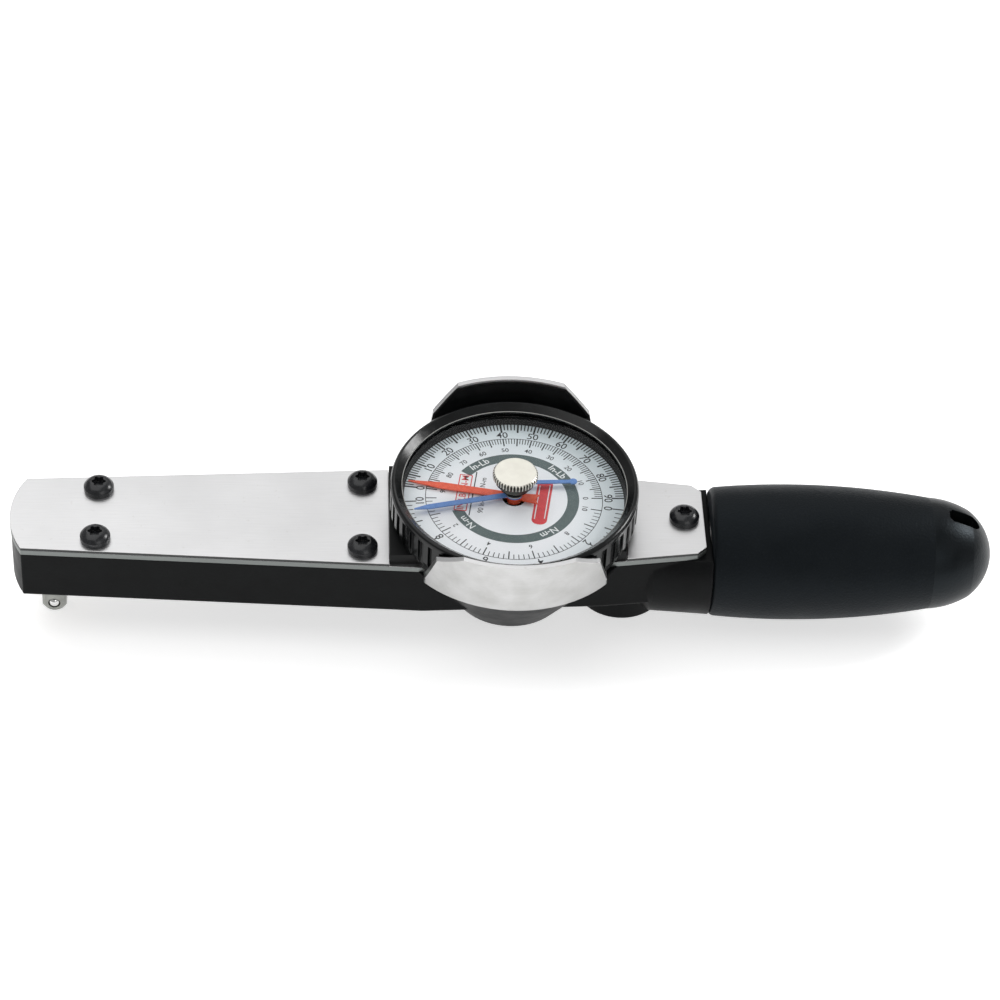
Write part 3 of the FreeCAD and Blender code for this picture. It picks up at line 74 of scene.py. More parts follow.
def middle(node):
    low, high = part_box(node)
    return (low + high) / 2


DIAL = middle("dial_face")
DIAL_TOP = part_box("dial_face")[1].z
COVER_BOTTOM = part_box("front_cover_plate")[0].z
COVER_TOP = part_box("front_cover_plate")[1].z
# the guards stand within this distance of the dial's axis, along X
GUARD_HALF = 23.7 * MM
# the radius of the bezel's inner lip
LIP_R = 29.74 * MM
# the radius of the knob over its knurl, and the height where it steps in to its neck
KNOB_R = 6.0 * MM
KNOB_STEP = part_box("memory_knob")[1].z - 1.9 * MM
# tints for the gloss of black pieces
NEUTRAL = (1, 1, 1, 1)
COOL = (0.72, 0.88, 1.0, 1)


# ---------------------------------------------------------------- material nodes
class Surface:
    """A procedural material: one Principled shader with colour, roughness and relief from nodes."""

    def __init__(self, name, metallic=0.0, roughness=0.5, **sockets):
        self.material = bpy.data.materials.new(name)
        self.material.use_nodes = True
        self.tree = self.material.node_tree
        self.shader = self.tree.nodes["Principled BSDF"]
        self.shader.inputs["Metallic"].default_value = metallic
        self.shader.inputs["Roughness"].default_value = roughness
        for socket, value in sockets.items():
            self.shader.inputs[socket.replace("_", " ")].default_value = value
        self.place = self.add("ShaderNodeTexCoord").outputs["Object"]
        self.relief = None

    def add(self, kind, **settings):
        node = self.tree.nodes.new(kind)
        for name, value in settings.items():
            setattr(node, name, value)
        return node

    def join(self, source, target):
        if isinstance(source, (int, float)):
            target.default_value = source
        elif isinstance(source, (tuple, list)):
            target.default_value = (*source, 1.0)[:4]
        else:
            self.tree.links.new(source, target)

    def stretched(self, scale):
        """The place, scaled differently along X, Y and Z."""
        mapping = self.add("ShaderNodeMapping")
        mapping.inputs["Scale"].default_value = scale
        self.join(self.place, mapping.inputs["Vector"])
        return mapping.outputs["Vector"]

    def noise(self, size, detail=3.0, stretch=(1, 1, 1)):
        """Noise from 0 to 1 whose features are about size metres across."""
        node = self.add("ShaderNodeTexNoise")
        node.inputs["Scale"].default_value = 1.0 / size
        node.inputs["Detail"].default_value = detail
        self.join(self.stretched(stretch), node.inputs["Vector"])
        return node.outputs["Fac"]

    def grains(self, size):
        """Rounded cells about size metres across, 0 at their middles."""
        node = self.add("ShaderNodeTexVoronoi", feature="SMOOTH_F1")
        node.inputs["Scale"].default_value = 1.0 / size
        self.join(self.place, node.inputs["Vector"])
        return node.outputs["Distance"]

    def remap(self, value, low, high, to_low=0.0, to_high=1.0):
        """Takes low to to_low and high to to_high, and stays between them."""
        node = self.add("ShaderNodeMapRange")
        self.join(value, node.inputs["Value"])
        limits = {"From Min": low, "From Max": high, "To Min": to_low, "To Max": to_high}
        for name, number in limits.items():
            node.inputs[name].default_value = number
        return node.outputs["Result"]

    def maths(self, operation, first, second=0.0):
        node = self.add("ShaderNodeMath", operation=operation)
        self.join(first, node.inputs[0])
        self.join(second, node.inputs[1])
        return node.outputs["Value"]

    def times(self, first, second):
        return self.maths("MULTIPLY", first, second)

    def mix(self, factor, first, second):
        """A colour between two."""
        node = self.add("ShaderNodeMix", data_type="RGBA")
        self.join(factor, node.inputs[0])
        self.join(first, node.inputs[6])
        self.join(second, node.inputs[7])
        return node.outputs[2]

    def edges(self, radius):
        """Softens the edges by radius and gives a mask that is 1 where they are."""
        bevel = self.add("ShaderNodeBevel", samples=6)
        bevel.inputs["Radius"].default_value = radius
        self.relief = bevel.outputs["Normal"]
        plain = self.add("ShaderNodeNewGeometry").outputs["Normal"]
        dot = self.add("ShaderNodeVectorMath", operation="DOT_PRODUCT")
        self.join(bevel.outputs["Normal"], dot.inputs[0])
        self.join(plain, dot.inputs[1])
        return self.remap(dot.outputs["Value"], 0.995, 0.85)

    def below(self, level):
        """1 under a height, 0 above it."""
        split = self.add("ShaderNodeSeparateXYZ")
        self.join(self.place, split.inputs[0])
        return self.maths("LESS_THAN", split.outputs["Z"], level)

    def lean(self):
        """How far a face looks up or down: 1 for a level face, 0 for an upright one."""
        split = self.add("ShaderNodeSeparateXYZ")
        self.join(self.add("ShaderNodeNewGeometry").outputs["Normal"], split.inputs[0])
        return self.maths("ABSOLUTE", split.outputs["Z"])

    def upright_faces(self):
        return self.maths("LESS_THAN", self.lean(), 0.3)

    def flat_faces(self):
        return self.maths("GREATER_THAN", self.lean(), 0.6)

    def beside(self, x):
        """Distance from a cross plane at x."""
        split = self.add("ShaderNodeSeparateXYZ")
        self.join(self.place, split.inputs[0])
        return self.maths("ABSOLUTE", self.maths("SUBTRACT", split.outputs["X"], x))

    def off_axis(self, centre):
        """Distance from the upright line through a point."""
        flat = self.add("ShaderNodeVectorMath", operation="MULTIPLY")
        self.join(self.place, flat.inputs[0])
        flat.inputs[1].default_value = (1, 1, 0)
        offset = self.add("ShaderNodeVectorMath", operation="DISTANCE")
        self.join(flat.outputs[0], offset.inputs[0])
        offset.inputs[1].default_value = (centre.x, centre.y, 0)
        return offset.outputs["Value"]

    def bump(self, height, depth):
        """Relief of the given depth in metres, over any relief already there."""
        node = self.add("ShaderNodeBump")
        node.inputs["Strength"].default_value = 1.0
        node.inputs["Distance"].default_value = depth
        self.join(height, node.inputs["Height"])
        if self.relief is not None:
            self.join(self.relief, node.inputs["Normal"])
        self.relief = node.outputs["Normal"]

    def finish(self, colour, roughness=None):
        """Joins the colour, the roughness and the relief to the shader."""
        self.join(colour, self.shader.inputs["Base Color"])
        if roughness is not None:
            self.join(roughness, self.shader.inputs["Roughness"])
        if self.relief is not None:
            self.join(self.relief, self.shader.inputs["Normal"])
        return self.material


# ---------------------------------------------------------------- the materials
def brushed_sheet():
    """Stainless sheet with fine lengthwise grain and smudges. Its sheared edges are duller, the cover's
    edge carries a painted shadow, and the upright guards carry uneven painted shade."""
    s = Surface("brushed_sheet", metallic=1.0)
    worn = s.edges(0.2 * MM)
    grain = s.noise(0.35 * MM, 4.0, stretch=(0.035, 1, 1))
    smudge = s.noise(26 * MM, 4.0)
    speck = s.noise(1.6 * MM, 4.0)
    tone = s.mix(s.remap(smudge, 0.3, 0.72), (0.675, 0.675, 0.68), (0.75, 0.75, 0.755))
    tone = s.mix(s.remap(grain, 0.25, 0.8, 0.0, 0.22), tone, (0.52, 0.515, 0.51))
    tone = s.mix(s.remap(speck, 0.66, 0.82, 0.0, 0.3), tone, (0.42, 0.40, 0.36))
    tone = s.mix(s.times(worn, 0.7), tone, (0.92, 0.92, 0.91))
    away = s.maths("GREATER_THAN", s.beside(DIAL.x), GUARD_HALF)
    sides = s.times(s.below(COVER_TOP - 0.12 * MM), s.upright_faces())
    sheared = s.times(sides, away)
    # painted shadow: the cover's sheared edge is near-black, as the shade of the gap above the frame
    # plate; the frame's edge is dull grey, partly its sheared finish and partly painted shade
    edge_finish_and_painted_shadow = s.mix(s.below(COVER_BOTTOM), (0.012, 0.013, 0.013), (0.17, 0.185, 0.178))
    tone = s.mix(s.times(sheared, 0.92), tone, edge_finish_and_painted_shadow)
    # painted shade: the upright guard faces are darkened, unevenly, towards a dull grey
    guards = s.times(s.upright_faces(), s.maths("SUBTRACT", 1.0, sheared))
    guard_painted_shade = s.remap(s.noise(7 * MM, 6.0), 0.35, 0.7, 0.3, 0.55)
    tone = s.mix(s.times(guards, guard_painted_shade), tone, (0.27, 0.27, 0.25))
    s.bump(grain, 0.006 * MM)
    s.bump(speck, 0.006 * MM)
    smudged = s.remap(smudge, 0.25, 0.75, 0.3, 0.38)
    brushed = s.remap(grain, 0.2, 0.8, -0.05, 0.06)
    rough = s.maths("ADD", smudged, brushed)
    return s.finish(tone, s.maths("ADD", rough, s.times(sheared, 0.15)))


def cast_black():
    """Black paint over a casting: a slight orange peel, rubbed thin at the edges."""
    s = Surface("cast_black", Specular_IOR_Level=0.09)
    worn = s.edges(0.8 * MM)
    peel = s.noise(0.9 * MM, 2.0)
    dust = s.noise(6 * MM, 6.0)
    rubbed = s.times(worn, s.remap(s.noise(2.5 * MM, 5.0), 0.45, 0.7))
    tone = s.mix(s.remap(dust, 0.35, 0.75), (0.0026, 0.003, 0.0032), (0.0052, 0.006, 0.0063))
    tone = s.mix(s.times(rubbed, 0.35), tone, (0.035, 0.037, 0.038))
    s.bump(peel, 0.03 * MM)
    return s.finish(tone, s.remap(dust, 0.3, 0.75, 0.36, 0.5))


def black_oxide():
    """Blackened screws, polished by handling, with grey showing where a driver has rubbed them."""
    s = Surface("black_oxide", Specular_IOR_Level=0.5)
    worn = s.edges(0.12 * MM)
    patch = s.noise(0.8 * MM, 4.0)
    tone = s.mix(s.remap(patch, 0.35, 0.75), (0.006, 0.0065, 0.008), (0.016, 0.017, 0.02))
    tone = s.mix(s.times(worn, s.remap(patch, 0.3, 0.7, 0.1, 0.5)), tone, (0.14, 0.13, 0.12))
    s.bump(s.noise(0.2 * MM, 2.0), 0.004 * MM)
    return s.finish(tone, s.remap(patch, 0.3, 0.75, 0.2, 0.32))


def turned_nickel(axis_x, axis_y, low, high, knurled=False):
    """Nickel plate with the lathe's rings about an upright axis; a knurled knob gets painted shade on its
    side and in its grooves.
    """
    s = Surface("turned_nickel_%03d" % round(axis_x / MM), metallic=1.0)
    worn = s.edges(0.08 * MM)
    mapping = s.add("ShaderNodeMapping", vector_type="POINT")
    mapping.inputs["Location"].default_value = (-axis_x, -axis_y, 0)
    s.join(s.place, mapping.inputs["Vector"])
    rings = s.add("ShaderNodeTexWave", wave_type="RINGS", rings_direction="Z")
    rings.inputs["Scale"].default_value = 900.0
    rings.inputs["Distortion"].default_value = 1.5
    rings.inputs["Detail"].default_value = 3.0
    s.join(mapping.outputs["Vector"], rings.inputs["Vector"])
    patch = s.noise(2.4 * MM, 3.0)
    tone = s.mix(s.remap(patch, 0.3, 0.75), low, high)
    tone = s.mix(s.times(worn, 0.3), tone, (0.95, 0.94, 0.90))
    if knurled:
        # painted shade: the knob's side below its step is greyed, and the upright walls of the knurl's
        # grooves are near-black
        tone = s.mix(s.times(s.below(KNOB_STEP), 0.75), tone, (0.36, 0.355, 0.33))
        inside = s.maths("LESS_THAN", s.off_axis(DIAL), KNOB_R - 0.12 * MM)
        groove_shade = s.times(s.times(inside, s.upright_faces()), 0.9)
        tone = s.mix(groove_shade, tone, (0.05, 0.05, 0.046))
    s.bump(rings.outputs["Fac"], 0.0015 * MM)
    return s.finish(tone, s.remap(patch, 0.3, 0.75, 0.3, 0.38))


def gloss_black():
    """Polished black moulding, with a painted highlight line on its inner lip and slightly rubbed ribs.
    """
    s = Surface("gloss_black", Specular_IOR_Level=0.32)
    worn = s.edges(0.14 * MM)
    dust = s.noise(1.6 * MM, 6.0)
    patch = s.noise(9 * MM, 4.0)
    tone = s.mix(s.remap(patch, 0.3, 0.7), (0.003, 0.0034, 0.0036), (0.0062, 0.007, 0.0072))
    rubbed = s.times(worn, s.remap(dust, 0.35, 0.7, 0.02, 0.3))
    rubbed = s.times(rubbed, s.maths("GREATER_THAN", s.off_axis(DIAL), LIP_R + 0.4 * MM))
    tone = s.mix(rubbed, tone, (0.10, 0.105, 0.11))
    # painted highlight: a fine bright line on the flat top at the inner lip's edge
    near_lip = s.remap(s.off_axis(DIAL), LIP_R + 0.22 * MM, LIP_R + 0.14 * MM)
    lip_highlight = s.times(near_lip, s.flat_faces())
    tone = s.mix(s.times(lip_highlight, 0.8), tone, (0.42, 0.42, 0.40))
    s.bump(s.noise(0.5 * MM, 2.0), 0.004 * MM)
    return s.finish(tone, s.remap(dust, 0.3, 0.75, 0.14, 0.24))


def cool_black(level):
    """A black of this level, a little bluer than neutral."""
    return (level, level * 1.08, level * 1.14)


def matte_black(name, low, high, rough_low, rough_high, grain, depth, level=0.16, tint=NEUTRAL):
    """Moulded black with a grain of the given size and depth. Low and high are its darkest and lightest
    levels, and level and tint are those of its gloss."""
    s = Surface(name, Specular_IOR_Level=level)
    s.shader.inputs["Specular Tint"].default_value = tint
    worn = s.edges(0.25 * MM)
    patch = s.noise(5 * MM, 5.0)
    tone = s.mix(s.remap(patch, 0.3, 0.7), cool_black(low), cool_black(high))
    tone = s.mix(s.times(worn, 0.3), tone, (0.03, 0.031, 0.032))
    s.bump(s.grains(grain), depth)
    return s.finish(tone, s.remap(patch, 0.3, 0.7, rough_low, rough_high))


def grip_rubber():
    """Dense black rubber with an even fine grain and a faint cool bloom."""
    s = Surface("grip_rubber", Specular_IOR_Level=0.12, Sheen_Weight=0.02, Sheen_Roughness=0.5)
    s.shader.inputs["Specular Tint"].default_value = COOL
    s.shader.inputs["Sheen Tint"].default_value = COOL
    bloom = s.noise(14 * MM, 5.0)
    speck = s.noise(0.45 * MM, 2.0)
    tone = s.mix(s.remap(bloom, 0.3, 0.72), (0.0028, 0.0034, 0.004), (0.0054, 0.0064, 0.0074))
    tone = s.mix(s.remap(speck, 0.6, 0.75, 0.0, 0.3), tone, (0.014, 0.016, 0.019))
    s.bump(s.grains(0.5 * MM), 0.06 * MM)
    s.bump(s.noise(0.25 * MM, 2.0), 0.03 * MM)
    return s.finish(tone, s.remap(bloom, 0.3, 0.72, 0.44, 0.56))


def plain_metal(name, low, high, rough_low, rough_high):
    """Machined metal with a fine grain."""
    s = Surface(name, metallic=1.0)
    grain = s.noise(0.3 * MM, 3.0, stretch=(0.1, 1, 1))
    patch = s.noise(3 * MM, 4.0)
    s.bump(grain, 0.006 * MM)
    tone = s.mix(s.remap(patch, 0.3, 0.7), low, high)
    return s.finish(tone, s.remap(grain, 0.25, 0.75, rough_low, rough_high))


def dial_white():
    """Satin white lacquer with painted shade: brightest a little beside the dial's middle and greyer
    towards the rim.
    """
    s = Surface("dial_white", Specular_IOR_Level=0.35)
    # painted shade: the white greys towards the rim, measured from a point a little beside the dial's
    # middle
    offset = s.add("ShaderNodeVectorMath", operation="DISTANCE")
    s.join(s.place, offset.inputs[0])
    offset.inputs[1].default_value = (DIAL.x - 4 * MM, DIAL.y - 6 * MM, DIAL_TOP)
    fibre = s.noise(0.4 * MM, 4.0)
    shade = s.remap(offset.outputs["Value"], 16 * MM, 36 * MM)
    tone = s.mix(shade, (0.90, 0.885, 0.915), (0.63, 0.70, 0.73))
    tone = s.mix(s.remap(fibre, 0.3, 0.75, 0.0, 0.06), tone, (0.6, 0.6, 0.62))
    s.bump(fibre, 0.004 * MM)
    return s.finish(tone, s.remap(fibre, 0.3, 0.7, 0.42, 0.55))


def paint(name, low, high, rough=0.35):
    """Ink or enamel: a colour that varies a little, with faint brush relief."""
    s = Surface(name, Specular_IOR_Level=0.45)
    patch = s.noise(1.2 * MM, 5.0)
    s.bump(s.noise(0.3 * MM, 2.0), 0.004 * MM)
    tone = s.mix(s.remap(patch, 0.3, 0.72), low, high)
    return s.finish(tone, s.remap(patch, 0.3, 0.7, rough - 0.06, rough + 0.1))


def clear_crystal():
    """A clear moulded window: only its gloss shows, with a few faint hairline scratches."""
    s = Surface("clear_crystal")
    clear = s.add("ShaderNodeBsdfTransparent")
    clear.inputs["Color"].default_value = (0.975, 0.985, 0.985, 1)
    gloss = s.add("ShaderNodeBsdfGlossy")
    gloss.inputs["Color"].default_value = (1, 1, 1, 1)
    scratch = s.noise(0.5 * MM, 3.0, stretch=(0.05, 1, 1))
    s.join(s.remap(scratch, 0.3, 0.75, 0.03, 0.09), gloss.inputs["Roughness"])
    fresnel = s.add("ShaderNodeFresnel")
    fresnel.inputs["IOR"].default_value = 1.42
    front = s.maths("SUBTRACT", 1.0, s.add("ShaderNodeNewGeometry").outputs["Backfacing"])
    share = s.times(s.times(fresnel.outputs["Fac"], front), 0.45)
    blend = s.add("ShaderNodeMixShader")
    s.join(share, blend.inputs[0])
    s.join(clear.outputs[0], blend.inputs[1])
    s.join(gloss.outputs[0], blend.inputs[2])
    output = [n for n in s.tree.nodes if n.type == "OUTPUT_MATERIAL"][0]
    s.join(blend.outputs[0], output.inputs["Surface"])
    s.tree.nodes.remove(s.shader)
    return s.material


def pale_floor():
    """A plain pale floor, lit a little from within so that the shadow on it stays light."""
    s = Surface("pale_floor", roughness=0.9, Specular_IOR_Level=0.1, Emission_Strength=0.56)
    s.shader.inputs["Emission Color"].default_value = (1, 1, 1, 1)
    cloud = s.noise(0.4, 2.0)
    return s.finish(s.mix(cloud, (0.93, 0.93, 0.93), (0.95, 0.95, 0.95)))


def make_materials():
    return {
        "sheet": brushed_sheet(),
        "casting": cast_black(),
        "oxide": black_oxide(),
        "knob": turned_nickel(DIAL.x, DIAL.y, (0.82, 0.80, 0.72), (0.88, 0.865, 0.78), True),
        "spindle": turned_nickel(0.0, 0.0, (0.27, 0.275, 0.26), (0.40, 0.41, 0.385)),
        "bezel": gloss_black(),
        "cup": matte_black("cup_plastic", 0.0028, 0.0056, 0.34, 0.46, 0.5 * MM, 0.015 * MM),
        "cap": matte_black("cap_plastic", 0.002, 0.004, 0.33, 0.42, 0.45 * MM, 0.04 * MM, 0.2, COOL),
        "gasket": matte_black("gasket_rubber", 0.003, 0.006, 0.5, 0.6, 0.4 * MM, 0.001 * MM, 0.06),
        "liner": matte_black("liner_black", 0.0024, 0.0048, 0.3, 0.42, 0.6 * MM, 0.0005 * MM, 0.1),
        "grip": grip_rubber(),
        "ball": plain_metal("polished_steel", (0.78, 0.78, 0.78), (0.86, 0.86, 0.86), 0.08, 0.14),
        "steel": plain_metal("ground_steel", (0.42, 0.42, 0.42), (0.56, 0.56, 0.55), 0.22, 0.38),
        "bronze": plain_metal("bronze", (0.55, 0.36, 0.16), (0.68, 0.47, 0.24), 0.25, 0.4),
        "aluminium": plain_metal("aluminium", (0.66, 0.67, 0.68), (0.77, 0.78, 0.79), 0.3, 0.45),
        "dial": dial_white(),
        "ink": paint("ink_black", (0.012, 0.012, 0.014), (0.03, 0.03, 0.032), 0.5),
        "band": paint("band_grey", (0.085, 0.115, 0.115), (0.11, 0.145, 0.145), 0.5),
        "ink_white": paint("ink_white", (0.8, 0.8, 0.81), (0.9, 0.9, 0.9), 0.5),
        "ink_red": paint("ink_red", (0.62, 0.035, 0.045), (0.74, 0.06, 0.07), 0.5),
        "pointer_red": paint("pointer_red", (0.72, 0.075, 0.03), (0.86, 0.12, 0.05)),
        "pointer_blue": paint("pointer_blue", (0.085, 0.20, 0.49), (0.13, 0.26, 0.58)),
        "crystal": clear_crystal(),
    }


# the CAD nodes that wear each material
NODE_FINISH = {
    "sheet": ["frame_plate", "front_cover_plate", "rear_cover_plate"],
    "casting": ["body_casting"],
    "oxide": ["cover_screws"],
    "knob": ["memory_knob"],
    "spindle": ["drive_shaft"],
    "bezel": ["bezel_ring"],
    "cup": ["dial_cup", "dial_retainer"],
    "liner": ["guard_liners", "dial_spacer"],
    "cap": ["end_cap"],
    "gasket": ["crystal_gasket", "memory_washer"],
    "grip": ["handle_grip"],
    "ball": ["detent_ball"],
    "steel": [
        "detent_spring", "measuring_beam", "beam_pin", "load_pins", "arm_screws", "sector_rivets",
        "pinion_arbor", "bridge_screws", "cup_screws", "bezel_snap_ring", "memory_shaft", "memory_clip",
        "handle_core",
    ],
    "bronze": [
        "bottom_bush", "top_bush", "sector_gear", "movement_bridge", "bridge_pillars",
        "lower_arbor_bush", "upper_arbor_bush", "hairspring", "hairspring_stud",
    ],
    "aluminium": ["indicator_arm"],
    "dial": ["dial_face"],
    "pointer_red": ["main_pointer"],
    "pointer_blue": ["memory_pointer"],
    "crystal": ["crystal"],
}


def dress_nodes(materials):
    for finish, names in NODE_FINISH.items():
        for name in names:
            for material_slot in NODES[name].material_slots:
                material_slot.material = materials[finish]


# ---------------------------------------------------------------- mesh helpers
def new_piece(name, mesh, material, body):
    """A new object with one material, riding on a body."""
    piece = bpy.data.objects.new(name, mesh)
    bpy.context.scene.collection.objects.link(piece)
    mesh.materials.append(material)
    if body is not None:
        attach(piece, body)
    return piece


def mesh_from(bm, name, smooth=True):
    bmesh.ops.recalc_face_normals(bm, faces=bm.faces)
    mesh = bpy.data.meshes.new(name)
    bm.to_mesh(mesh)
    bm.free()
    if smooth:
        mesh.shade_smooth()
    return mesh


def skin(bm, rings):
    """Faces over rings of vertices, one after another, with both ends closed."""
    corners = len(rings[0])
    for ring, following in zip(rings, rings[1:]):
        for index in range(corners):
            after = (index + 1) % corners
            bm.faces.new((ring[index], ring[after], following[after], following[index]))
    bm.faces.new(rings[0])
    bm.faces.new(rings[-1])


# ---------------------------------------------------------------- printing on the dial
# the size of the built-in font is this many times the height of its figures
FONT_SIZE = 1.38


class Print:
    """Flat ink shapes on the dial, gathered into one mesh. Places are polar, about the dial's axis:
    a radius in millimetres and an angle in degrees from +X."""

    def __init__(self, name, lift):
        self.name = name
        self.bm = bmesh.new()
        self.z = DIAL_TOP + lift * MM

    def point(self, radius, angle, along=0.0):
        """A point at a radius, moved sideways by along millimetres."""
        turn = math.radians(angle)
        out = Vector((math.cos(turn), math.sin(turn)))
        side = Vector((-out.y, out.x))
        flat = (out * radius + side * along) * MM
        return self.bm.verts.new((DIAL.x + flat.x, DIAL.y + flat.y, self.z))

    def tick(self, angle, inner, outer, width):
        """A straight mark from one radius to another."""
        half = width / 2
        corners = [(inner, -half), (outer, -half), (outer, half), (inner, half)]
        self.bm.faces.new([self.point(radius, angle, along) for radius, along in corners])

    def band(self, inner, outer, start=0.0, stop=360.0):
        """A flat ring, or a part of one between two angles."""
        steps = max(4, int(abs(stop - start) / 2))
        rows = []
        for index in range(steps + 1):
            angle = start + (stop - start) * index / steps
            rows.append((self.point(inner, angle), self.point(outer, angle)))
        for (a, b), (c, d) in zip(rows, rows[1:]):
            self.bm.faces.new((a, b, d, c))

    def bar(self, radius, angle, length, width, turn, corner):
        """A rounded bar with its middle at a place, its long way at turn degrees from +X."""
        radians = math.radians(angle)
        centre = Vector((radius * math.cos(radians), radius * math.sin(radians)))
        along = Vector((math.cos(math.radians(turn)), math.sin(math.radians(turn))))
        across = Vector((-along.y, along.x))
        outline = []
        for quarter, (sx, sy) in enumerate([(1, 1), (-1, 1), (-1, -1), (1, -1)]):
            for step in range(7):
                bend = math.radians(90 * quarter + 15 * step)
                x = sx * (length / 2 - corner) + corner * math.cos(bend)
                y = sy * (width / 2 - corner) + corner * math.sin(bend)
                outline.append(centre + along * x + across * y)
        verts = [self.bm.verts.new((DIAL.x + p.x * MM, DIAL.y + p.y * MM, self.z)) for p in outline]
        self.bm.faces.new(verts)

    def text(self, words, radius, angle, height, turn=None, bold=0.006):
        """Lettering whose top faces outwards, or turned by turn degrees. Bold is what its outline gains,
        as a share of its size."""
        curve = bpy.data.curves.new(self.name + "_text", "FONT")
        curve.body = words
        curve.size = height * FONT_SIZE * MM
        curve.offset = bold * curve.size
        curve.align_x = "CENTER"
        curve.align_y = "CENTER"
        curve.resolution_u = 4
        holder = bpy.data.objects.new(self.name + "_text", curve)
        bpy.context.scene.collection.objects.link(holder)
        bpy.context.view_layer.update()
        mesh = bpy.data.meshes.new_from_object(holder)
        spin = angle - 90 if turn is None else turn
        radians = math.radians(angle)
        x = DIAL.x + radius * MM * math.cos(radians)
        y = DIAL.y + radius * MM * math.sin(radians)
        place = Vector((x, y, self.z))
        mesh.transform(Matrix.Translation(place) @ Matrix.Rotation(math.radians(spin), 4, "Z"))
        self.bm.from_mesh(mesh)
        bpy.data.objects.remove(holder)
        bpy.data.curves.remove(curve)
        bpy.data.meshes.remove(mesh)

    def finish(self, material):
        mesh = mesh_from(self.bm, self.name, smooth=False)
        return new_piece(self.name, mesh, material, "bezel")


# The scales. A step is the angle of one unit, and a zero is an angle from +X, both in degrees.
INCH_POUNDS = 90
INCH_POUND_STEP = 1.9
NEWTON_METRES = 10
NEWTON_METRE_STEP = 16.82
MARKS_PER_NEWTON_METRE = 5
OUTER_INCH_ZERO = 171.5
OUTER_NEWTON_ZERO = -8.5
INNER_INCH_ZERO = 0.5
INNER_NEWTON_ZERO = -179.5
# Radii and heights on the dial, in millimetres.
TICK_OUTER = 29.3
CIRCLE = 23.5
OUTER_NUMERALS = 24.95
OUTER_HEIGHT = 2.3
INNER_NUMERALS = 18.95
INNER_HEIGHT = 1.5
BAND_INNER = 14.2
BAND_OUTER = 17.3
UNITS_RADIUS = 15.75
# The units label at the dial's left and the red bar at its right: radius, angle and turn.
LABEL = {"radius": 13.6, "angle": 171.5, "turn": 81.5}
RED_BAR = {"radius": 7.6, "angle": -11.5, "turn": 81.0}


def inch_angles(zero, way):
    """The angles of the inch-pound marks, clockwise or, with way 1, the other way round."""
    return [zero + way * INCH_POUND_STEP * value for value in range(INCH_POUNDS + 1)]


def newton_angles(zero, way):
    """The angles of the newton-metre marks, five to a unit."""
    marks = range(NEWTON_METRES * MARKS_PER_NEWTON_METRE + 1)
    return [zero + way * NEWTON_METRE_STEP * mark / MARKS_PER_NEWTON_METRE for mark in marks]


def print_ticks(ink, angles, edge, long_tick, short_tick):
    """Ticks inwards from a radius, every fifth one long. A tick is given as its length and its width."""
    for index, angle in enumerate(angles):
        length, width = long_tick if index % 5 == 0 else short_tick
        ink.tick(angle, edge - length, edge, width)


def print_numerals(ink, values, zero, step, radius, height):
    for value in values:
        ink.text(str(value), radius, zero + step * value, height)


def print_outer_scales(ink):
    print_ticks(ink, inch_angles(OUTER_INCH_ZERO, -1), TICK_OUTER, (3.3, 0.5), (2.3, 0.34))
    print_ticks(ink, newton_angles(OUTER_NEWTON_ZERO, -1), TICK_OUTER, (3.3, 0.4), (2.1, 0.28))
    inches = range(0, INCH_POUNDS + 1, 10)
    newtons = range(0, NEWTON_METRES + 1, 2)
    print_numerals(ink, inches, OUTER_INCH_ZERO, -INCH_POUND_STEP, OUTER_NUMERALS, OUTER_HEIGHT)
    print_numerals(ink, newtons, OUTER_NEWTON_ZERO, -NEWTON_METRE_STEP, OUTER_NUMERALS, OUTER_HEIGHT)


def print_inner_scales(ink):
    """The same scales for turning the other way. The two zeros meet, so only one is printed."""
    ink.band(CIRCLE - 0.09, CIRCLE + 0.09)
    print_ticks(ink, inch_angles(INNER_INCH_ZERO, 1), CIRCLE, (2.9, 0.34), (2.0, 0.22))
    print_ticks(ink, newton_angles(INNER_NEWTON_ZERO, 1), CIRCLE, (2.9, 0.32), (1.8, 0.22))
    inches = range(0, INCH_POUNDS + 1, 10)
    newtons = range(2, NEWTON_METRES + 1, 2)
    print_numerals(ink, inches, INNER_INCH_ZERO, INCH_POUND_STEP, INNER_NUMERALS, INNER_HEIGHT)
    print_numerals(ink, newtons, INNER_NEWTON_ZERO, NEWTON_METRE_STEP, INNER_NUMERALS, INNER_HEIGHT)


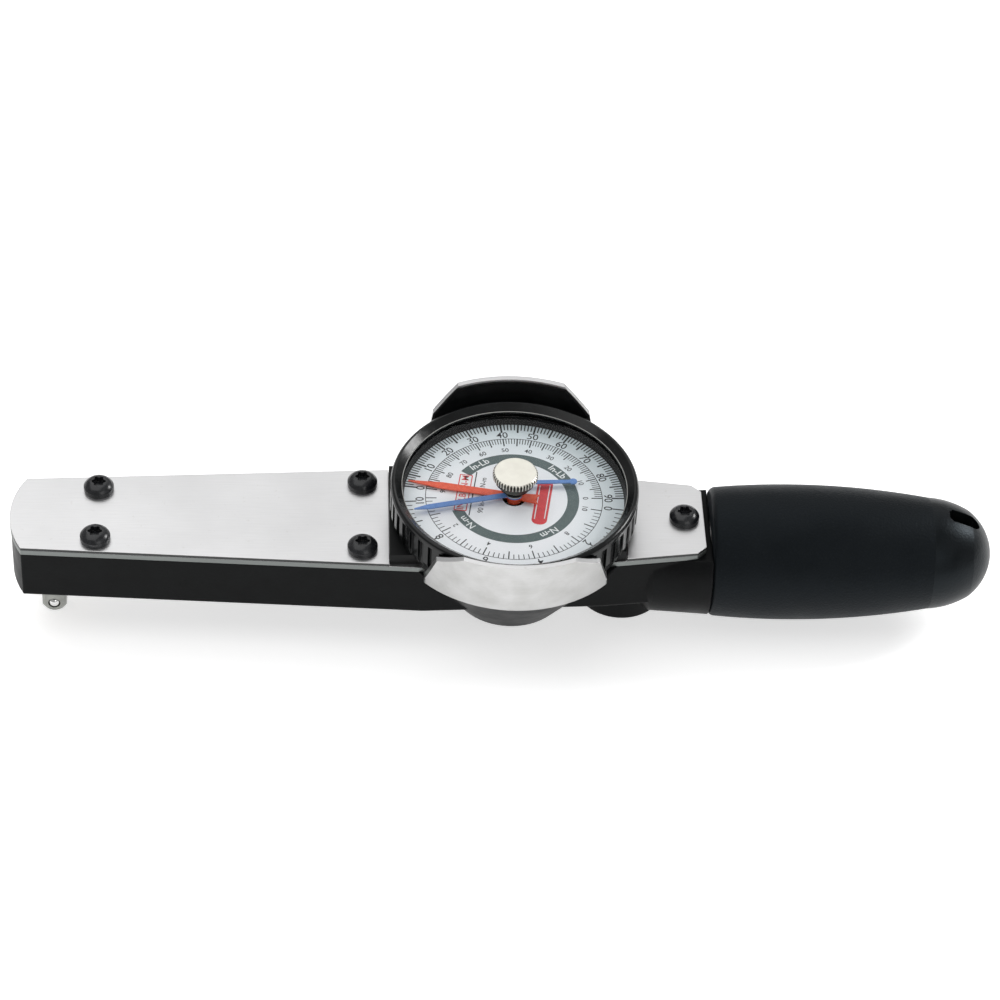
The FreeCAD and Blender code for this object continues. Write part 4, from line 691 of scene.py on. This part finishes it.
def make_dial_print(materials):
    """The scales, the grey unit band and plain coloured bars, with nothing but numbers and units. The
    layers lie a few hundredths of a millimetre apart."""
    ink = Print("dial_print_black", 0.02)
    print_outer_scales(ink)
    print_inner_scales(ink)
    ink.text("90 In-Lb", 9.0, 196, INNER_HEIGHT, turn=LABEL["turn"])
    ink.text("10 N-m", 9.4, 150, INNER_HEIGHT, turn=LABEL["turn"])
    ink.bar(11.0, LABEL["angle"], 17.2, 0.3, LABEL["turn"], 0.1)
    ink.finish(materials["ink"])

    band = Print("dial_print_band", 0.02)
    band.band(BAND_INNER, BAND_OUTER, -163, 143)
    band.finish(materials["band"])

    white = Print("dial_print_white", 0.04)
    for words, angle in (("In-Lb", 124), ("In-Lb", 41), ("N-m", -143), ("N-m", -56)):
        white.text(words, UNITS_RADIUS, angle, 2.05, bold=0.012)
    white.finish(materials["ink_white"])

    red = Print("dial_print_red", 0.03)
    red.bar(length=14.2, width=3.5, corner=0.3, **LABEL)
    red.bar(length=17.4, width=4.1, corner=1.8, **RED_BAR)
    red.finish(materials["ink_red"])

    panel = Print("dial_print_panel", 0.05)
    panel.bar(length=13.6, width=2.95, corner=0.2, **LABEL)
    for radius, angle in ((8.9, -9.4), (6.3, -14.4)):
        panel.bar(radius, angle, 13.2, 0.28, RED_BAR["turn"], 0.12)
    panel.finish(materials["ink_white"])

    label = Print("dial_print_label", 0.07)
    label.text("IN-LB / N-M", height=1.9, bold=0.012, **LABEL)
    label.finish(materials["ink_red"])


# ---------------------------------------------------------------- the beam and the spring, remade
BEAM_STATIONS = 72


def make_flexing_beam(materials):
    """The measuring beam, remade as a bevelled bar in short lengths between spindle and load pins."""
    low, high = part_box("measuring_beam")
    bm = bmesh.new()
    bevel = 0.25 * MM
    section = [
        (low.y + bevel, low.z),
        (high.y - bevel, low.z),
        (high.y, low.z + bevel),
        (high.y, high.z - bevel),
        (high.y - bevel, high.z),
        (low.y + bevel, high.z),
        (low.y, high.z - bevel),
        (low.y, low.z + bevel),
    ]
    rings = []
    for index in range(BEAM_STATIONS + 1):
        x = low.x + (high.x - low.x) * index / BEAM_STATIONS
        rings.append([bm.verts.new((x, y, z)) for y, z in section])
    skin(bm, rings)
    mesh = mesh_from(bm, "flexing_beam", smooth=False)
    piece = new_piece("flexing_beam", mesh, materials["steel"], None)
    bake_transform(piece)
    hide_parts("measuring_beam")


WIRE_R = 0.16 * MM
COIL_PITCH = 0.62 * MM
COIL_STEPS = 20
WIRE_CORNERS = 8


def make_flexing_spring(materials):
    """The ball's spring, a coil along Y between the blind hole's end and the ball."""
    low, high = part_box("detent_spring")
    centre = middle("detent_spring")
    radius = (high.z - low.z) / 2 - WIRE_R
    length = high.y - low.y - 2 * WIRE_R
    steps = round(COIL_STEPS * length / COIL_PITCH)
    bm = bmesh.new()
    rings = []
    for index in range(steps + 1):
        turn = math.tau * index / COIL_STEPS
        out = Vector((math.cos(turn), 0, math.sin(turn)))
        along = Vector((0, 1, 0))
        hub = Vector((centre.x, low.y + WIRE_R + length * index / steps, centre.z)) + out * radius
        ring = []
        for corner in range(WIRE_CORNERS):
            angle = math.tau * corner / WIRE_CORNERS
            side = out * math.cos(angle) + along * math.sin(angle)
            ring.append(bm.verts.new(hub + side * WIRE_R))
        rings.append(ring)
    skin(bm, rings)
    mesh = mesh_from(bm, "flexing_spring")
    piece = new_piece("flexing_spring", mesh, materials["steel"], None)
    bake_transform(piece)
    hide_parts("detent_spring")


# ---------------------------------------------------------------- stage, lights and camera
# The camera looks at a point from this elevation and azimuth, in degrees, and this distance, in metres.
VIEW_ELEVATION = 42.78
VIEW_AZIMUTH = -3.88
VIEW_ROLL = 3.16
VIEW_DISTANCE = 0.96237
VIEW_TARGET = Vector((0.119317, 0.003259, 0.036159))
LENS = 129.94


def make_camera():
    elevation = math.radians(VIEW_ELEVATION)
    azimuth = math.radians(VIEW_AZIMUTH)
    back = Vector((
        math.sin(azimuth) * math.cos(elevation),
        -math.cos(azimuth) * math.cos(elevation),
        math.sin(elevation),
    ))
    level = Vector((math.cos(azimuth), math.sin(azimuth), 0))
    upward = back.cross(level)
    unrolled = Matrix((level, upward, back)).transposed().to_4x4()
    turn = unrolled @ Matrix.Rotation(math.radians(VIEW_ROLL), 4, "Z")
    data = bpy.data.cameras.new("view")
    data.lens = LENS
    data.clip_start = 0.01
    data.clip_end = 20
    camera = bpy.data.objects.new("view", data)
    camera.matrix_world = Matrix.Translation(VIEW_TARGET + back * VIEW_DISTANCE) @ turn
    bpy.context.scene.collection.objects.link(camera)
    bpy.context.scene.camera = camera


def softbox(name, place, aim, width, height, power):
    """A rectangular light at a place, turned towards a point."""
    data = bpy.data.lights.new(name, "AREA")
    data.shape = "RECTANGLE"
    data.size = width
    data.size_y = height
    data.energy = power
    lamp = bpy.data.objects.new(name, data)
    lamp.location = place
    lamp.rotation_euler = (Vector(aim) - Vector(place)).to_track_quat("-Z", "Y").to_euler()
    bpy.context.scene.collection.objects.link(lamp)


def make_stage():
    """The even surroundings, four soft lights and the floor."""
    world = bpy.data.worlds.new("studio")
    bpy.context.scene.world = world
    world.use_nodes = True
    background = world.node_tree.nodes["Background"]
    background.inputs["Color"].default_value = (1.0, 1.0, 1.0, 1)
    background.inputs["Strength"].default_value = 0.36
    centre = (DIAL.x, 0, DIAL.z)
    softbox("key_light", (-0.15, 0.10, 0.85), centre, 1.2, 1.0, 4.0)
    softbox("fill_light", (0.45, -0.75, 0.55), centre, 0.5, 0.5, 0.9)
    softbox("back_light", (0.10, 0.85, 0.80), centre, 1.3, 0.8, 1.75)
    softbox("side_light", (0.75, 0.22, 0.40), (0.18, 0, 0.03), 0.2, 0.24, 2.2)
    bm = bmesh.new()
    bmesh.ops.create_grid(bm, x_segments=8, y_segments=8, size=3.0)
    floor = new_piece("floor", mesh_from(bm, "floor"), pale_floor(), None)
    floor.location = (DIAL.x, 0, CAD_BOX[0][2] - 0.2 * MM)
    bpy.context.scene.view_settings.view_transform = "Standard"


# ---------------------------------------------------------------- build
MATERIALS = make_materials()
dress_nodes(MATERIALS)
make_dial_print(MATERIALS)
make_flexing_beam(MATERIALS)
make_flexing_spring(MATERIALS)
make_stage()
make_camera()
